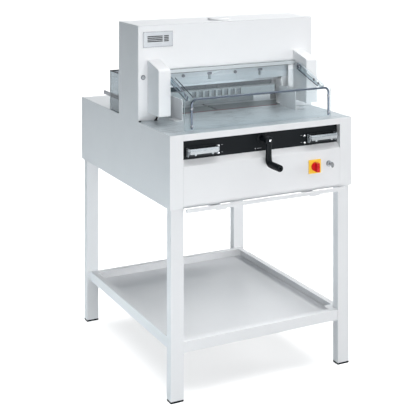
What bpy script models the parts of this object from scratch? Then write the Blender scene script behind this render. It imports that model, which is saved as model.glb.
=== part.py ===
"""Floor-standing electric paper guillotine on a four-legged stand, as separate named pieces.

Metres, +Z up. The origin is on the floor, in the middle of the machine's footprint.
The operator stands at -Y and looks along +Y. Every shape below is drawn in the datum frame:
X from the machine's middle, Y back from the cabinet's front face, Z up from the floor.
One parent empty then carries the datum frame to its place over the origin.
"""

import math

import bmesh
import bpy
from mathutils import Matrix, Vector

# Overall size
HALF_WIDTH = 0.380
CABINET_DEPTH = 0.878
HANDLE_REACH = 0.110
FRONT_Y = HANDLE_REACH / 2 - CABINET_DEPTH / 2
CABINET_BASE = 0.676
REAR_TOP = 0.9237
TABLE_TOP = 0.934
REAR_TABLE_TOP = 0.932
TABLE_THICKNESS = 0.008
TOWER_FRONT = 0.280
TOWER_REAR = 0.466
TOWER_TOP = 1.290
CAP_X = -0.011
CAP_Y = 0.342
CAP_RADIUS = 0.042
CAP_TOP = 1.2985

# Sheet metal and general gaps
SHEET = 0.002
GAP = 0.0003
COVER_HALF = HALF_WIDTH - SHEET - GAP
ROUND_SEGMENTS = 28
OVERSHOOT = 0.010
FRAME_STEEL = 0.003

# Stand
LEG_OUTER = 0.373
LEG_WIDTH = 0.050
LEG_DEPTH = 0.034
LEG_WALL = 0.0025
LEG_FRONT = 0.007
LEG_REAR = 0.831
LEG_TOP = 0.800
FOOT_HEIGHT = 0.007
FOOT_PLUG_TOP = 0.030
TRAY_BOTTOM = 0.170
TRAY_TOP = 0.209
TRAY_HALF = 0.357
TRAY_NOTCH_HALF = 0.3225
TRAY_FRONT = 0.0075
TRAY_NOTCH_DEPTH = 0.0415
TRAY_REAR = 0.8305
TRAY_HEM = 0.024
TRAY_TAB_HALF = 0.371

# Cabinet front
STRIP_INNER = 0.328
RETURN_DEPTH = 0.0215
SILL_LOW = 0.821
SILL_HIGH = 0.841
BAND_TOP = 0.9113
FASCIA_FRONT = 0.022
REAR_STRIP_INNER = 0.350
COVER_FLOOR_INNER = 0.338
LOUVRE_COUNT = 6
LOUVRE_PITCH = 0.020
LOUVRE_HEIGHT = 0.006
LOUVRE_LOW = 0.730
LOUVRE_LEFT = 0.060
LOUVRE_RIGHT = 0.260

# Chassis and portal frame
CHASSIS_HALF = 0.350
CHASSIS_WALL = 0.005
CHASSIS_FRONT = 0.045
CHASSIS_REAR = 0.828
CHASSIS_BASE = 0.678
PORTAL_FRONT = 0.358
PORTAL_REAR = 0.408
PORTAL_HALF = 0.362
PORTAL_OPENING = 0.290
PORTAL_LOW_HALF = 0.290
PORTAL_LOW_OPENING = 0.230
PORTAL_NECK_HALF = 0.335
PORTAL_NECK_LOW = 0.862
PORTAL_NECK_HIGH = 0.902
PORTAL_BASE = 0.690
PORTAL_TOP = 1.240
PORTAL_BEAM_LOW = 1.175
PORTAL_SHOULDER = 0.9365
GIB_FRONT = 0.322
GIB_REAR = 0.3357
GIB_INNER = 0.3300
GIB_WEB_INNER = 0.3525

# Throat
THROAT_HALF = 0.296
THROAT_TOP = 1.123
RAIL_FRONT = 0.262
RAIL_LOW = 1.106
STICK_FRONT = 0.3470
STICK_REAR = 0.3600
STICK_HALF = 0.262
STICK_TOP = 0.9337
LAY_FRONT = 0.215
LAY_BASE_REAR = 0.278
LAY_REAR = 0.333
LAY_HEIGHT = 0.080

# Blade and its drive
CUT_PLANE = 0.357
BLADE_FRONT = 0.3493
BLADE_EDGE = 1.037
BLADE_BEVEL_TOP = 1.060
BLADE_TOP = 1.110
BLADE_HALF = 0.285
CARRIER_FRONT = 0.336
CARRIER_REAR = 0.349
CARRIER_PAD_REAR = 0.3577
CARRIER_LOW = 1.049
CARRIER_HIGH = 1.170
CARRIER_LEFT = -0.348
CARRIER_MAIN_LEFT = -0.318
CARRIER_RIGHT = 0.312
CARRIER_PAD_INNER = 0.290
BOLT_XS = (-0.167, 0.060)
BOLT_Z = 1.082
BOLT_HEAD_RADIUS = 0.0062
BOLT_HEAD_SINK = 0.0065
BOLT_SHANK_RADIUS = 0.0040
BOLT_SOCKET_RADIUS = 0.0030
BLADE_HOLE_RADIUS = 0.0045
SLOT_XS = (-0.054, 0.171)
SLOT_WIDTH = 0.010
SLOT_LOW = 1.061
SLOT_HIGH = 1.087
ROD_X = -0.334
ROD_FRONT = 0.3363
ROD_REAR = 0.3479
ROD_Y = (ROD_FRONT + ROD_REAR) / 2
ROD_TOP_Z = 1.075
ROD_LENGTH = 0.250
ROD_WIDTH = 0.012
ROD_NECK = 0.022
ROD_EYE_RADIUS = 0.012
ROD_BORE_RADIUS = 0.0051
ROD_PIN_RADIUS = 0.0050
CRANK_RADIUS = 0.0502
CRANK_Z = ROD_TOP_Z - ROD_LENGTH - CRANK_RADIUS
CRANK_WEB_OUTER = -0.312
CRANK_WEB_INNER = -0.302
GEARBOX_LEFT = -0.289
GEARBOX_RIGHT = -0.180
GEARBOX_Y = (0.285, 0.3570)
GEARBOX_Z = (0.715, 0.835)
DRIVE_SHAFT_RADIUS = 0.011
MOTOR_Y = 0.310
MOTOR_Z = 0.775
MOTOR_RADIUS = 0.044
MOTOR_LENGTH = 0.162

# Clamp
CLAMP_LEFT = -0.236
CLAMP_RIGHT = 0.256
CLAMP_FRONT = 0.3605
CLAMP_REAR = 0.385
CLAMP_BASE = 0.977
CLAMP_FOOT_TOP = 1.018
CLAMP_WEB_TOP = 1.125
CLAMP_WEB_FRONT = 0.3655
CLAMP_WEB_REAR = 0.3805
CLAMP_NOTCH_COUNT = 8
CLAMP_NOTCH_LEFT = -0.117
CLAMP_NOTCH_PITCH = 0.0283
CLAMP_NOTCH_WIDTH = 0.019
CLAMP_NOTCH_DEPTH = 0.010
CLAMP_NOTCH_LOW = 0.988
CLAMP_NOTCH_HIGH = 1.012
CLAMP_BOSS_RADIUS = 0.012
GEARMOTOR_Y = (0.346, 0.406)
GEARMOTOR_TOP = 1.283
GEARMOTOR_HALF = 0.045
SPINDLE_X = 0.0
SPINDLE_Y = 0.373
SPINDLE_RADIUS = 0.008
SPINDLE_LOW = 1.080
SPINDLE_HIGH = 1.262

# Backgauge
GAUGE_FACE = 0.497
GAUGE_HALF = 0.235
GAUGE_TOP = 0.996
GAUGE_DEPTH = 0.078
SCREW_Z = 0.887
SCREW_RADIUS = 0.008
SLOT_HALF = 0.006
NUT_HALF_WIDTH = 0.022
NUT_RISE = 0.020

# Crank handle
ARM_LENGTH = 0.084
ARM_FRONT = -0.034
ARM_REAR = -0.020
HUB_RADIUS = 0.016
GRIP_RADIUS = 0.0125

# Front guard
GUARD_PIVOT_Y = 0.225
GUARD_PIVOT_Z = 1.105
GUARD_FRONT = 0.043
GUARD_SHEET = 0.004
GUARD_LEFT = -0.303
GUARD_RIGHT = 0.314
GUARD_TOP = 1.047
GUARD_LOW = 0.9365
ARM_INNER = 0.2835
ARM_OUTER = 0.2895
ARM_PIN_END = 0.318
ARM_HALF_WIDTH = 0.009
ARM_EYE_RADIUS = 0.013
WIRE_LEFT = -0.277
WIRE_RIGHT = 0.301
WIRE_LOW = 0.9415
WIRE_BEND = 0.018
WIRE_RADIUS = 0.004
WIRE_Y = 0.038
WIRE_TOP = 1.046
BLOCK_INNER = 0.293
BLOCK_OUTER = 0.341
BLOCK_FRONT = 0.180
BLOCK_LOW = 0.965
BLOCK_WALL = 0.003
BLOCK_TOP = 1.161
BLOCK_NOSE_TOP = 1.138
BLOCK_NOSE_RADIUS = 0.012
GUARD_PIN_RADIUS = 0.008
REAR_GUARD_HALF = 0.375
REAR_GUARD_SHEET = 0.003
REAR_GUARD_TOP = 1.085
REAR_GUARD_BACK = 0.570

# Operating controls
BAR_PIVOT_Y = 0.006
BAR_PIVOT_Z = 0.8745
BAR_LENGTH = 0.113
BAR_LOW = 0.862
BAR_TOP = 0.880
BAR_PIN_RADIUS = 0.003
LEFT_BAR_X = -0.248
RIGHT_BAR_X = 0.2535
BRACKET_LOW = 0.849
BRACKET_TOP = 0.884
SWITCH_X = 0.2135
SWITCH_Z = 0.7645
SWITCH_PLATE_HALF = 0.0265
SWITCH_BODY_HALF = 0.0215
KEY_X = 0.276
KEY_Z = 0.769
KEY_BARREL_RADIUS = 0.0080
BUTTON_X = -0.359
BUTTON_Z = 1.097
BUTTON_RADIUS = 0.0062
PRESS_BAR_PIVOT_Y = 0.130
PRESS_BAR_PIVOT_Z = 0.662
PRESS_BAR_HALF = 0.331
PRESS_ARM_X = 0.195
PRESS_LUG_X = 0.237
PRESS_SHAFT_RADIUS = 0.007

# Colour, roughness, metallic
FINISHES = {
    "white_paint": ((0.86, 0.87, 0.88), 0.45, 0.0),
    "grey_paint": ((0.62, 0.65, 0.68), 0.50, 0.0),
    "black_paint": ((0.015, 0.017, 0.020), 0.40, 0.0),
    "black_plastic": ((0.020, 0.022, 0.024), 0.50, 0.0),
    "table_steel": ((0.60, 0.63, 0.66), 0.30, 1.0),
    "bright_steel": ((0.75, 0.76, 0.78), 0.22, 1.0),
    "dark_steel": ((0.28, 0.29, 0.31), 0.40, 1.0),
    "cast_iron": ((0.20, 0.22, 0.24), 0.65, 0.6),
    "red_plastic": ((0.72, 0.02, 0.03), 0.35, 0.0),
    "yellow_plastic": ((0.95, 0.68, 0.03), 0.40, 0.0),
    "clear_sheet": ((0.80, 0.86, 0.88), 0.08, 0.0),
    "plate_print": ((0.10, 0.11, 0.12), 0.35, 0.0),
}


def clear_scene():
    for old in list(bpy.data.objects):
        bpy.data.objects.remove(old, do_unlink=True)


def shape_from(bm):
    """Turns a finished bmesh into an unnamed object that later steps join, cut or name."""
    bmesh.ops.recalc_face_normals(bm, faces=bm.faces)
    mesh = bpy.data.meshes.new("shape")
    bm.to_mesh(mesh)
    bm.free()
    shape = bpy.data.objects.new("shape", mesh)
    bpy.context.collection.objects.link(shape)
    return shape


def in_space(axis, first, second, along):
    """A point from an outline's two coordinates and a distance along the extrusion axis."""
    if axis == "X":
        return Vector((along, first, second))
    if axis == "Y":
        return Vector((first, along, second))
    return Vector((first, second, along))


def prism(outline, axis, start, end):
    """The outline is (y, z) for axis X, (x, z) for axis Y and (x, y) for axis Z."""
    bm = bmesh.new()
    near = [bm.verts.new(in_space(axis, a, b, start)) for a, b in outline]
    face = bm.faces.new(near)
    grown = bmesh.ops.extrude_face_region(bm, geom=[face])
    moved = [item for item in grown["geom"] if isinstance(item, bmesh.types.BMVert)]
    bmesh.ops.translate(bm, verts=moved, vec=in_space(axis, 0, 0, end - start))
    return shape_from(bm)


def box(x, y, z):
    """A block from three (low, high) pairs."""
    outline = [(x[0], y[0]), (x[1], y[0]), (x[1], y[1]), (x[0], y[1])]
    return prism(outline, "Z", z[0], z[1])


def arc(centre, radius, start, end, steps):
    """Points on a circle from one angle to another, in degrees."""
    points = []
    for step in range(steps + 1):
        angle = math.radians(start + (end - start) * step / steps)
        points.append((centre[0] + radius * math.cos(angle), centre[1] + radius * math.sin(angle)))
    return points


def cylinder(centre, radius, axis, start, end, segments=ROUND_SEGMENTS):
    """The centre is the circle's two coordinates in the plane across the axis."""
    return prism(arc(centre, radius, 0, 360, segments)[:-1], axis, start, end)


def turned(profile, centre, axis, segments=ROUND_SEGMENTS):
    """A solid of revolution from (radius, distance along the axis) pairs, closed at both ends."""
    bm = bmesh.new()
    rings = []
    for radius, along in profile:
        circle = arc(centre, radius, 0, 360, segments)[:-1]
        rings.append([bm.verts.new(in_space(axis, a, b, along)) for a, b in circle])
    for lower, upper in zip(rings, rings[1:]):
        for i in range(segments):
            j = (i + 1) % segments
            bm.faces.new((lower[i], lower[j], upper[j], upper[i]))
    bm.faces.new(rings[0])
    bm.faces.new(rings[-1])
    return shape_from(bm)


def rod_along(points, radius, sides):
    """A round rod through a list of points in one XZ plane."""
    bm = bmesh.new()
    rings = []
    for i, point in enumerate(points):
        before = points[max(i - 1, 0)]
        after = points[min(i + 1, len(points) - 1)]
        along = (after - before).normalized()
        across = along.cross(Vector((0, 1, 0))).normalized()
        ring = []
        for side in range(sides):
            angle = 2 * math.pi * side / sides
            offset = across * math.cos(angle) + Vector((0, 1, 0)) * math.sin(angle)
            ring.append(bm.verts.new(point + offset * radius))
        rings.append(ring)
    for lower, upper in zip(rings, rings[1:]):
        for i in range(sides):
            j = (i + 1) % sides
            bm.faces.new((lower[i], lower[j], upper[j], upper[i]))
    bm.faces.new(rings[0])
    bm.faces.new(rings[-1])
    return shape_from(bm)


def combine(target, tools, operation):
    """Applies a union or a difference with each tool, and removes the tools."""
    for tool in tools:
        modifier = target.modifiers.new("combine", "BOOLEAN")
        modifier.operation = operation
        modifier.solver = "EXACT"
        modifier.object = tool
    evaluated = target.evaluated_get(bpy.context.evaluated_depsgraph_get())
    target.data = bpy.data.meshes.new_from_object(evaluated)
    target.modifiers.clear()
    for tool in tools:
        bpy.data.objects.remove(tool, do_unlink=True)
    return target


def join(target, *tools):
    return combine(target, tools, "UNION")


def cut(target, *tools):
    return combine(target, tools, "DIFFERENCE")


def empty(name, position, parent=None):
    """An empty at a datum-frame position. Every empty but the datum hangs on the datum."""
    holder = bpy.data.objects.new(name, None)
    holder.location = position
    holder.parent = parent
    bpy.context.collection.objects.link(holder)
    return holder


def material(name, finish):
    colour, roughness, metallic = FINISHES[finish]
    made = bpy.data.materials.new(name)
    made.use_nodes = True
    shader = made.node_tree.nodes["Principled BSDF"]
    shader.inputs["Base Color"].default_value = (*colour, 1.0)
    shader.inputs["Roughness"].default_value = roughness
    shader.inputs["Metallic"].default_value = metallic
    if finish == "clear_sheet":
        shader.inputs["Transmission Weight"].default_value = 0.9
    return made


def name_piece(shape, name, finish, holder, origin=None):
    """Names a shape, gives it its material and hangs it on its holder.

    A fixed piece has its origin in the middle of its own box. A moving one is given the
    point on its joint's axis.
    """
    if origin is None:
        corners = [Vector(corner) for corner in shape.bound_box]
        origin = (corners[0] + corners[6]) / 2
    origin = Vector(origin)
    shape.data.transform(Matrix.Translation(-origin))
    base = holder.location if holder.parent else Vector((0, 0, 0))
    shape.parent = holder
    shape.location = origin - base
    shape.name = name
    shape.data.name = name
    shape.data.shade_smooth()
    shape.data.set_sharp_from_angle(angle=math.radians(28))
    shape.data.materials.clear()
    shape.data.materials.append(material(name, finish))
    return shape


def stadium(first, first_radius, second, second_radius, steps=10):
    """An outline around two circles one above the other, the second one lower."""
    upper = arc(first, first_radius, 0, 180, steps)
    lower = arc(second, second_radius, 180, 360, steps)
    return upper + lower


# ---------------------------------------------------------------- stand


def make_legs(datum):
    for side, x_sign in (("left", -1), ("right", 1)):
        for end, y_low in (("front", LEG_FRONT), ("rear", LEG_REAR)):
            outer = x_sign * LEG_OUTER
            inner = x_sign * (LEG_OUTER - LEG_WIDTH)
            x = (min(outer, inner), max(outer, inner))
            y = (y_low, y_low + LEG_DEPTH)
            hollow_x = (x[0] + LEG_WALL, x[1] - LEG_WALL)
            hollow_y = (y[0] + LEG_WALL, y[1] - LEG_WALL)
            tube = cut(box(x, y, (FOOT_HEIGHT, LEG_TOP)), box(hollow_x, hollow_y, (0, LEG_TOP + 0.01)))
            name_piece(tube, f"leg_{end}_{side}", "white_paint", datum)
            plug_x = (hollow_x[0] + 2 * GAP, hollow_x[1] - 2 * GAP)
            plug_y = (hollow_y[0] + 2 * GAP, hollow_y[1] - 2 * GAP)
            glide = join(
                box(x, y, (0, FOOT_HEIGHT - GAP)), box(plug_x, plug_y, (0.002, FOOT_PLUG_TOP))
            )
            name_piece(glide, f"foot_{end}_{side}", "black_plastic", datum)


def tray_outline(inset):
    """The tray's plan, notched round the front legs, moved inwards by the inset."""
    side = TRAY_HALF - inset
    notch = TRAY_NOTCH_HALF - inset
    front = TRAY_FRONT + inset
    shoulder = TRAY_NOTCH_DEPTH + inset
    rear = TRAY_REAR - inset
    right = [(notch, front), (notch, shoulder), (side, shoulder), (side, rear)]
    left = [(-x, y) for x, y in reversed(right)]
    return right + left


def make_shelf_tray(datum):
    tray = prism(tray_outline(0), "Z", TRAY_BOTTOM, TRAY_TOP)
    hollow = prism(tray_outline(SHEET), "Z", TRAY_BOTTOM + SHEET, TRAY_TOP - SHEET)
    mouth = prism(tray_outline(TRAY_HEM), "Z", TRAY_BOTTOM + 0.010, TRAY_TOP + 0.010)
    tray = cut(tray, join(hollow, mouth))
    tabs = []
    for x_sign in (-1, 1):
        inner = x_sign * (TRAY_HALF - 0.010)
        outer = x_sign * TRAY_TAB_HALF
        x = (min(inner, outer), max(inner, outer))
        tabs.append(box(x, (TRAY_REAR - SHEET, TRAY_REAR), (TRAY_BOTTOM, TRAY_TOP)))
    name_piece(join(tray, *tabs), "shelf_tray", "white_paint", datum)


# ---------------------------------------------------------------- cabinet


def make_chassis(datum):
    pan = box((-CHASSIS_HALF, CHASSIS_HALF), (CHASSIS_FRONT, CHASSIS_REAR), (CHASSIS_BASE, REAR_TOP))
    inner_half = CHASSIS_HALF - CHASSIS_WALL
    inner_y = (CHASSIS_FRONT + CHASSIS_WALL, CHASSIS_REAR - CHASSIS_WALL)
    hollow = box((-inner_half, inner_half), inner_y, (CHASSIS_BASE + CHASSIS_WALL, REAR_TOP + OVERSHOOT))
    screw_hole = cylinder((0, SCREW_Z), SCREW_RADIUS + GAP, "Y", 0.0, CABINET_DEPTH)
    pan = cut(pan, hollow, screw_hole)
    lugs = []
    holes = []
    for x_sign in (-1, 1):
        middle = x_sign * PRESS_LUG_X
        pivot = (PRESS_BAR_PIVOT_Y, PRESS_BAR_PIVOT_Z)
        radius = 2 * PRESS_SHAFT_RADIUS
        top = CHASSIS_BASE + FRAME_STEEL
        outline = arc(pivot, radius, 180, 360, 10)
        outline += [(pivot[0] + radius, top), (pivot[0] - radius, top)]
        lugs.append(prism(outline, "X", middle - FRAME_STEEL, middle + FRAME_STEEL))
        hole_radius = PRESS_SHAFT_RADIUS + GAP
        holes.append(cylinder(pivot, hole_radius, "X", middle - OVERSHOOT, middle + OVERSHOOT))
    pan = cut(join(pan, *lugs), *holes)
    name_piece(pan, "chassis", "grey_paint", datum)


def side_outline():
    return [
        (0, CABINET_BASE),
        (CABINET_DEPTH, CABINET_BASE),
        (CABINET_DEPTH, TABLE_TOP),
        (TOWER_REAR, TABLE_TOP),
        (TOWER_REAR, TOWER_TOP),
        (TOWER_FRONT, TOWER_TOP),
        (TOWER_FRONT, TABLE_TOP),
        (0, TABLE_TOP),
    ]


def make_side_covers(datum):
    for side, x_sign in (("left", -1), ("right", 1)):

        def span(a, b, sign=x_sign):
            return (min(sign * a, sign * b), max(sign * a, sign * b))

        x = span(HALF_WIDTH - SHEET, HALF_WIDTH)
        panel = prism(side_outline(), "X", x[0], x[1])
        height = (CABINET_BASE, TABLE_TOP)
        overlap = HALF_WIDTH - SHEET / 2
        front = box(span(STRIP_INNER, overlap), (0, SHEET), height)
        flange_height = (LEG_TOP + 0.003, TABLE_TOP - TABLE_THICKNESS - GAP)
        flange_x = span(STRIP_INNER, STRIP_INNER + SHEET)
        flange = box(flange_x, (SHEET / 2, RETURN_DEPTH), flange_height)
        rear_y = (CABINET_DEPTH - SHEET, CABINET_DEPTH)
        rear = box(span(REAR_STRIP_INNER, overlap), rear_y, (CABINET_BASE, REAR_TOP))
        floor_x = span(COVER_FLOOR_INNER, overlap)
        floor_z = (CABINET_BASE, CABINET_BASE + SHEET - GAP)
        floor = box(floor_x, (CHASSIS_FRONT, CHASSIS_REAR), floor_z)
        name_piece(join(panel, front, flange, rear, floor), f"side_cover_{side}", "white_paint", datum)


def make_front_cover(datum):
    half = STRIP_INNER - GAP
    slope = (SILL_HIGH - SILL_LOW) / RETURN_DEPTH
    inner_sill_low = SILL_LOW - SHEET * (1 - slope / 2)
    outline = [
        (0, CABINET_BASE),
        (0, SILL_LOW),
        (RETURN_DEPTH, SILL_HIGH),
        (RETURN_DEPTH, SILL_HIGH - 0.0028),
        (SHEET, inner_sill_low),
        (SHEET, CABINET_BASE),
    ]
    panel = prism(outline, "X", -half, half)
    lower_half = LEG_OUTER - LEG_WIDTH - SHEET
    lower_return = box((-lower_half, lower_half), (SHEET / 2, 0.030), (CABINET_BASE, CABINET_BASE + SHEET))
    panel = join(panel, lower_return)
    hole_half = SWITCH_BODY_HALF + 0.0005
    hole_x = (SWITCH_X - hole_half, SWITCH_X + hole_half)
    hole_z = (SWITCH_Z - hole_half, SWITCH_Z + hole_half)
    switch_hole = box(hole_x, (-OVERSHOOT, OVERSHOOT), hole_z)
    key_hole = cylinder((KEY_X, KEY_Z), KEY_BARREL_RADIUS + 0.0005, "Y", -OVERSHOOT, OVERSHOOT)
    name_piece(cut(panel, switch_hole, key_hole), "front_cover", "white_paint", datum)

    fascia_y = (FASCIA_FRONT, FASCIA_FRONT + SHEET)
    fascia = box((-half, half), fascia_y, (SILL_HIGH - SHEET, BAND_TOP - GAP))
    hole_y = (FASCIA_FRONT - OVERSHOOT, FASCIA_FRONT + OVERSHOOT)
    hub_hole = cylinder((0, SCREW_Z), HUB_RADIUS + 0.001, "Y", *hole_y)
    name_piece(cut(fascia, hub_hole), "control_fascia", "black_paint", datum)

    trim = [
        (0, BAND_TOP),
        (0, TABLE_TOP),
        (SHEET, TABLE_TOP),
        (SHEET, BAND_TOP + SHEET),
        (RETURN_DEPTH, BAND_TOP + SHEET),
        (RETURN_DEPTH, BAND_TOP),
    ]
    name_piece(prism(trim, "X", -half, half), "table_front_trim", "white_paint", datum)


def make_rear_cover(datum):
    half = REAR_STRIP_INNER - GAP
    panel = box((-half, half), (CABINET_DEPTH - SHEET, CABINET_DEPTH), (CABINET_BASE, REAR_TOP))
    louvres = []
    louvre_y = (CABINET_DEPTH - OVERSHOOT, CABINET_DEPTH + OVERSHOOT)
    for row in range(LOUVRE_COUNT):
        z = LOUVRE_LOW + row * LOUVRE_PITCH
        louvres.append(box((LOUVRE_LEFT, LOUVRE_RIGHT), louvre_y, (z, z + LOUVRE_HEIGHT)))
    name_piece(cut(panel, *louvres), "rear_cover", "white_paint", datum)


def make_tables(datum):
    front_y = (SHEET + GAP, STICK_FRONT - GAP)
    front = box((-COVER_HALF, COVER_HALF), front_y, (TABLE_TOP - TABLE_THICKNESS, TABLE_TOP))
    through_z = (TABLE_TOP - 2 * OVERSHOOT, TABLE_TOP + OVERSHOOT)
    rod_notch = box((-0.352, -0.278), (0.330, STICK_REAR), through_z)
    name_piece(cut(front, rod_notch), "front_table", "table_steel", datum)

    neck = PORTAL_OPENING - GAP
    shoulder = PORTAL_REAR + GAP
    rear = CABINET_DEPTH - SHEET - GAP
    right = [(neck, STICK_REAR + GAP), (neck, shoulder), (COVER_HALF, shoulder), (COVER_HALF, rear)]
    outline = right + [(-x, y) for x, y in reversed(right)]
    plate = prism(outline, "Z", REAR_TABLE_TOP - TABLE_THICKNESS, REAR_TABLE_TOP)
    slot = box((-SLOT_HALF, SLOT_HALF), (0.372, 0.830), through_z)
    name_piece(cut(plate, slot), "rear_table", "table_steel", datum)

    stick_depth = STICK_REAR - STICK_FRONT
    stick_z = (STICK_TOP - stick_depth, STICK_TOP)
    stick = box((-STICK_HALF, STICK_HALF), (STICK_FRONT, STICK_REAR), stick_z)
    name_piece(stick, "cutting_stick", "red_plastic", datum)


def make_side_lays(datum):
    thickness = FRAME_STEEL
    low = TABLE_TOP + GAP
    for side, face, foot in (("left", -0.2275, -0.258), ("right", 0.2635, 0.306)):
        outward = math.copysign(1, face)
        wall = sorted((face, face + outward * thickness))
        plate = box(wall, (LAY_FRONT, LAY_REAR), (low, low + LAY_HEIGHT))
        base_x = sorted((face + outward * thickness / 2, foot))
        base = box(base_x, (LAY_FRONT, LAY_BASE_REAR), (low, low + thickness))
        name_piece(join(plate, base), f"side_lay_{side}", "grey_paint", datum)


# ---------------------------------------------------------------- portal and tower


def make_machine_frame(datum):
    right = [
        (PORTAL_LOW_HALF, PORTAL_BASE),
        (PORTAL_LOW_HALF, PORTAL_NECK_LOW),
        (PORTAL_NECK_HALF, PORTAL_NECK_HIGH),
        (PORTAL_NECK_HALF, PORTAL_SHOULDER),
        (PORTAL_HALF, PORTAL_SHOULDER),
        (PORTAL_HALF, PORTAL_TOP),
    ]
    outline = right + [(-x, z) for x, z in reversed(right)]
    portal = prism(outline, "Y", PORTAL_FRONT, PORTAL_REAR)
    through_y = (PORTAL_FRONT - OVERSHOOT, PORTAL_REAR + OVERSHOOT)
    throat_z = (PORTAL_SHOULDER - 2 * OVERSHOOT, PORTAL_BEAM_LOW)
    throat = box((-PORTAL_OPENING, PORTAL_OPENING), through_y, throat_z)
    well_z = (PORTAL_BASE + 0.060, PORTAL_SHOULDER)
    well = box((-PORTAL_LOW_OPENING, PORTAL_LOW_OPENING), through_y, well_z)
    spindle_hole = cylinder((SPINDLE_X, SPINDLE_Y), SPINDLE_RADIUS + GAP, "Z", 1.15, 1.30)
    portal = cut(portal, throat, well, spindle_hole)
    gibs = []
    for x_sign in (-1, 1):
        right_gib = [
            (GIB_INNER, GIB_FRONT),
            (PORTAL_HALF, GIB_FRONT),
            (PORTAL_HALF, PORTAL_FRONT + 0.004),
            (GIB_WEB_INNER, PORTAL_FRONT + 0.004),
            (GIB_WEB_INNER, GIB_REAR),
            (GIB_INNER, GIB_REAR),
        ]
        gibs.append(prism([(x_sign * x, y) for x, y in right_gib], "Z", 0.945, 1.235))
    name_piece(join(portal, *gibs), "machine_frame", "cast_iron", datum)


def make_tower_covers(datum):
    low = TABLE_TOP + 0.0005
    high = TOWER_TOP - SHEET - GAP
    right = [(THROAT_HALF, THROAT_TOP), (THROAT_HALF, low), (COVER_HALF, low), (COVER_HALF, high)]
    outline = right + [(-x, z) for x, z in reversed(right)]
    cover = prism(outline, "Y", TOWER_FRONT, TOWER_FRONT + SHEET)
    returns = []
    for x_sign in (-1, 1):
        x = sorted((x_sign * THROAT_HALF, x_sign * (THROAT_HALF + SHEET)))
        returns.append(box(x, (TOWER_FRONT + SHEET / 2, GIB_FRONT - GAP), (low, THROAT_TOP + SHEET)))
    top_x = (-THROAT_HALF - SHEET / 2, THROAT_HALF + SHEET / 2)
    top_y = (TOWER_FRONT + SHEET / 2, 0.300)
    returns.append(box(top_x, top_y, (THROAT_TOP, THROAT_TOP + SHEET)))
    cover = join(cover, *returns)
    hole_y = (TOWER_FRONT - OVERSHOOT, TOWER_FRONT + OVERSHOOT)
    hole = cylinder((BUTTON_X, BUTTON_Z), BUTTON_RADIUS + GAP, "Y", *hole_y)
    name_piece(cut(cover, hole), "tower_front_cover", "white_paint", datum)

    hood_outline = [
        (TOWER_FRONT, TOWER_TOP - SHEET),
        (TOWER_FRONT, TOWER_TOP),
        (TOWER_REAR, TOWER_TOP),
        (TOWER_REAR, low),
        (TOWER_REAR - SHEET, low),
        (TOWER_REAR - SHEET, TOWER_TOP - SHEET),
    ]
    hood = prism(hood_outline, "X", -COVER_HALF, COVER_HALF)
    passage_y = (TOWER_REAR - OVERSHOOT, TOWER_REAR + OVERSHOOT)
    passage = box((-THROAT_HALF, THROAT_HALF), passage_y, (low - OVERSHOOT, THROAT_TOP + SHEET))
    neck = CAP_RADIUS - 0.012
    hole_z = (TOWER_TOP - OVERSHOOT, TOWER_TOP + OVERSHOOT)
    cap_hole = cylinder((CAP_X, CAP_Y), neck + 0.001, "Z", *hole_z)
    name_piece(cut(hood, passage, cap_hole), "tower_hood", "white_paint", datum)

    cap = turned(
        [
            (neck, TOWER_TOP - 0.0055),
            (neck, TOWER_TOP + GAP),
            (CAP_RADIUS, TOWER_TOP + GAP),
            (CAP_RADIUS, CAP_TOP - SHEET),
            (CAP_RADIUS - SHEET, CAP_TOP),
        ],
        (CAP_X, CAP_Y),
        "Z",
        36,
    )
    name_piece(cap, "top_cap", "white_paint", datum)

    plate = box((-0.359, -0.238), (TOWER_FRONT - 0.0017, TOWER_FRONT - GAP), (1.207, 1.265))
    name_piece(plate, "name_plate", "plate_print", datum)

    rail_x = (-BLOCK_INNER + GAP, BLOCK_INNER - GAP)
    rail = box(rail_x, (RAIL_FRONT, TOWER_FRONT - GAP), (RAIL_LOW, THROAT_TOP))
    name_piece(rail, "cut_light_rail", "white_paint", datum)


def bearing_outline(inset):
    """Side view of a guard bearing block, moved inwards by the inset. The rear stays put."""
    rear = TOWER_FRONT - GAP
    front = BLOCK_FRONT + inset
    low = BLOCK_LOW + inset
    rounding = BLOCK_NOSE_RADIUS
    nose = arc((front + rounding, BLOCK_NOSE_TOP - inset - rounding), rounding, 180, 100, 5)
    return [(rear, low), (front, low)] + nose + [(rear, BLOCK_TOP - inset)]


def make_guard_bearings(datum):
    for side, x_sign in (("left", -1), ("right", 1)):
        x = sorted((x_sign * BLOCK_INNER, x_sign * BLOCK_OUTER))
        block = prism(bearing_outline(0), "X", x[0], x[1])
        hollow = prism(bearing_outline(BLOCK_WALL), "X", x[0] + BLOCK_WALL, x[1] - BLOCK_WALL)
        mouth_y = (TOWER_FRONT - 0.030, TOWER_FRONT + OVERSHOOT)
        mouth_z = (BLOCK_LOW + BLOCK_WALL, BLOCK_TOP - 0.011)
        mouth = box((x[0] + BLOCK_WALL, x[1] - BLOCK_WALL), mouth_y, mouth_z)
        ends = sorted((x_sign * (BLOCK_INNER - OVERSHOOT), x_sign * (BLOCK_INNER + OVERSHOOT)))
        pivot = (GUARD_PIVOT_Y, GUARD_PIVOT_Z)
        hole = cylinder(pivot, GUARD_PIN_RADIUS + GAP, "X", ends[0], ends[1])
        name_piece(cut(block, join(hollow, mouth), hole), f"guard_bearing_{side}", "white_paint", datum)


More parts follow.
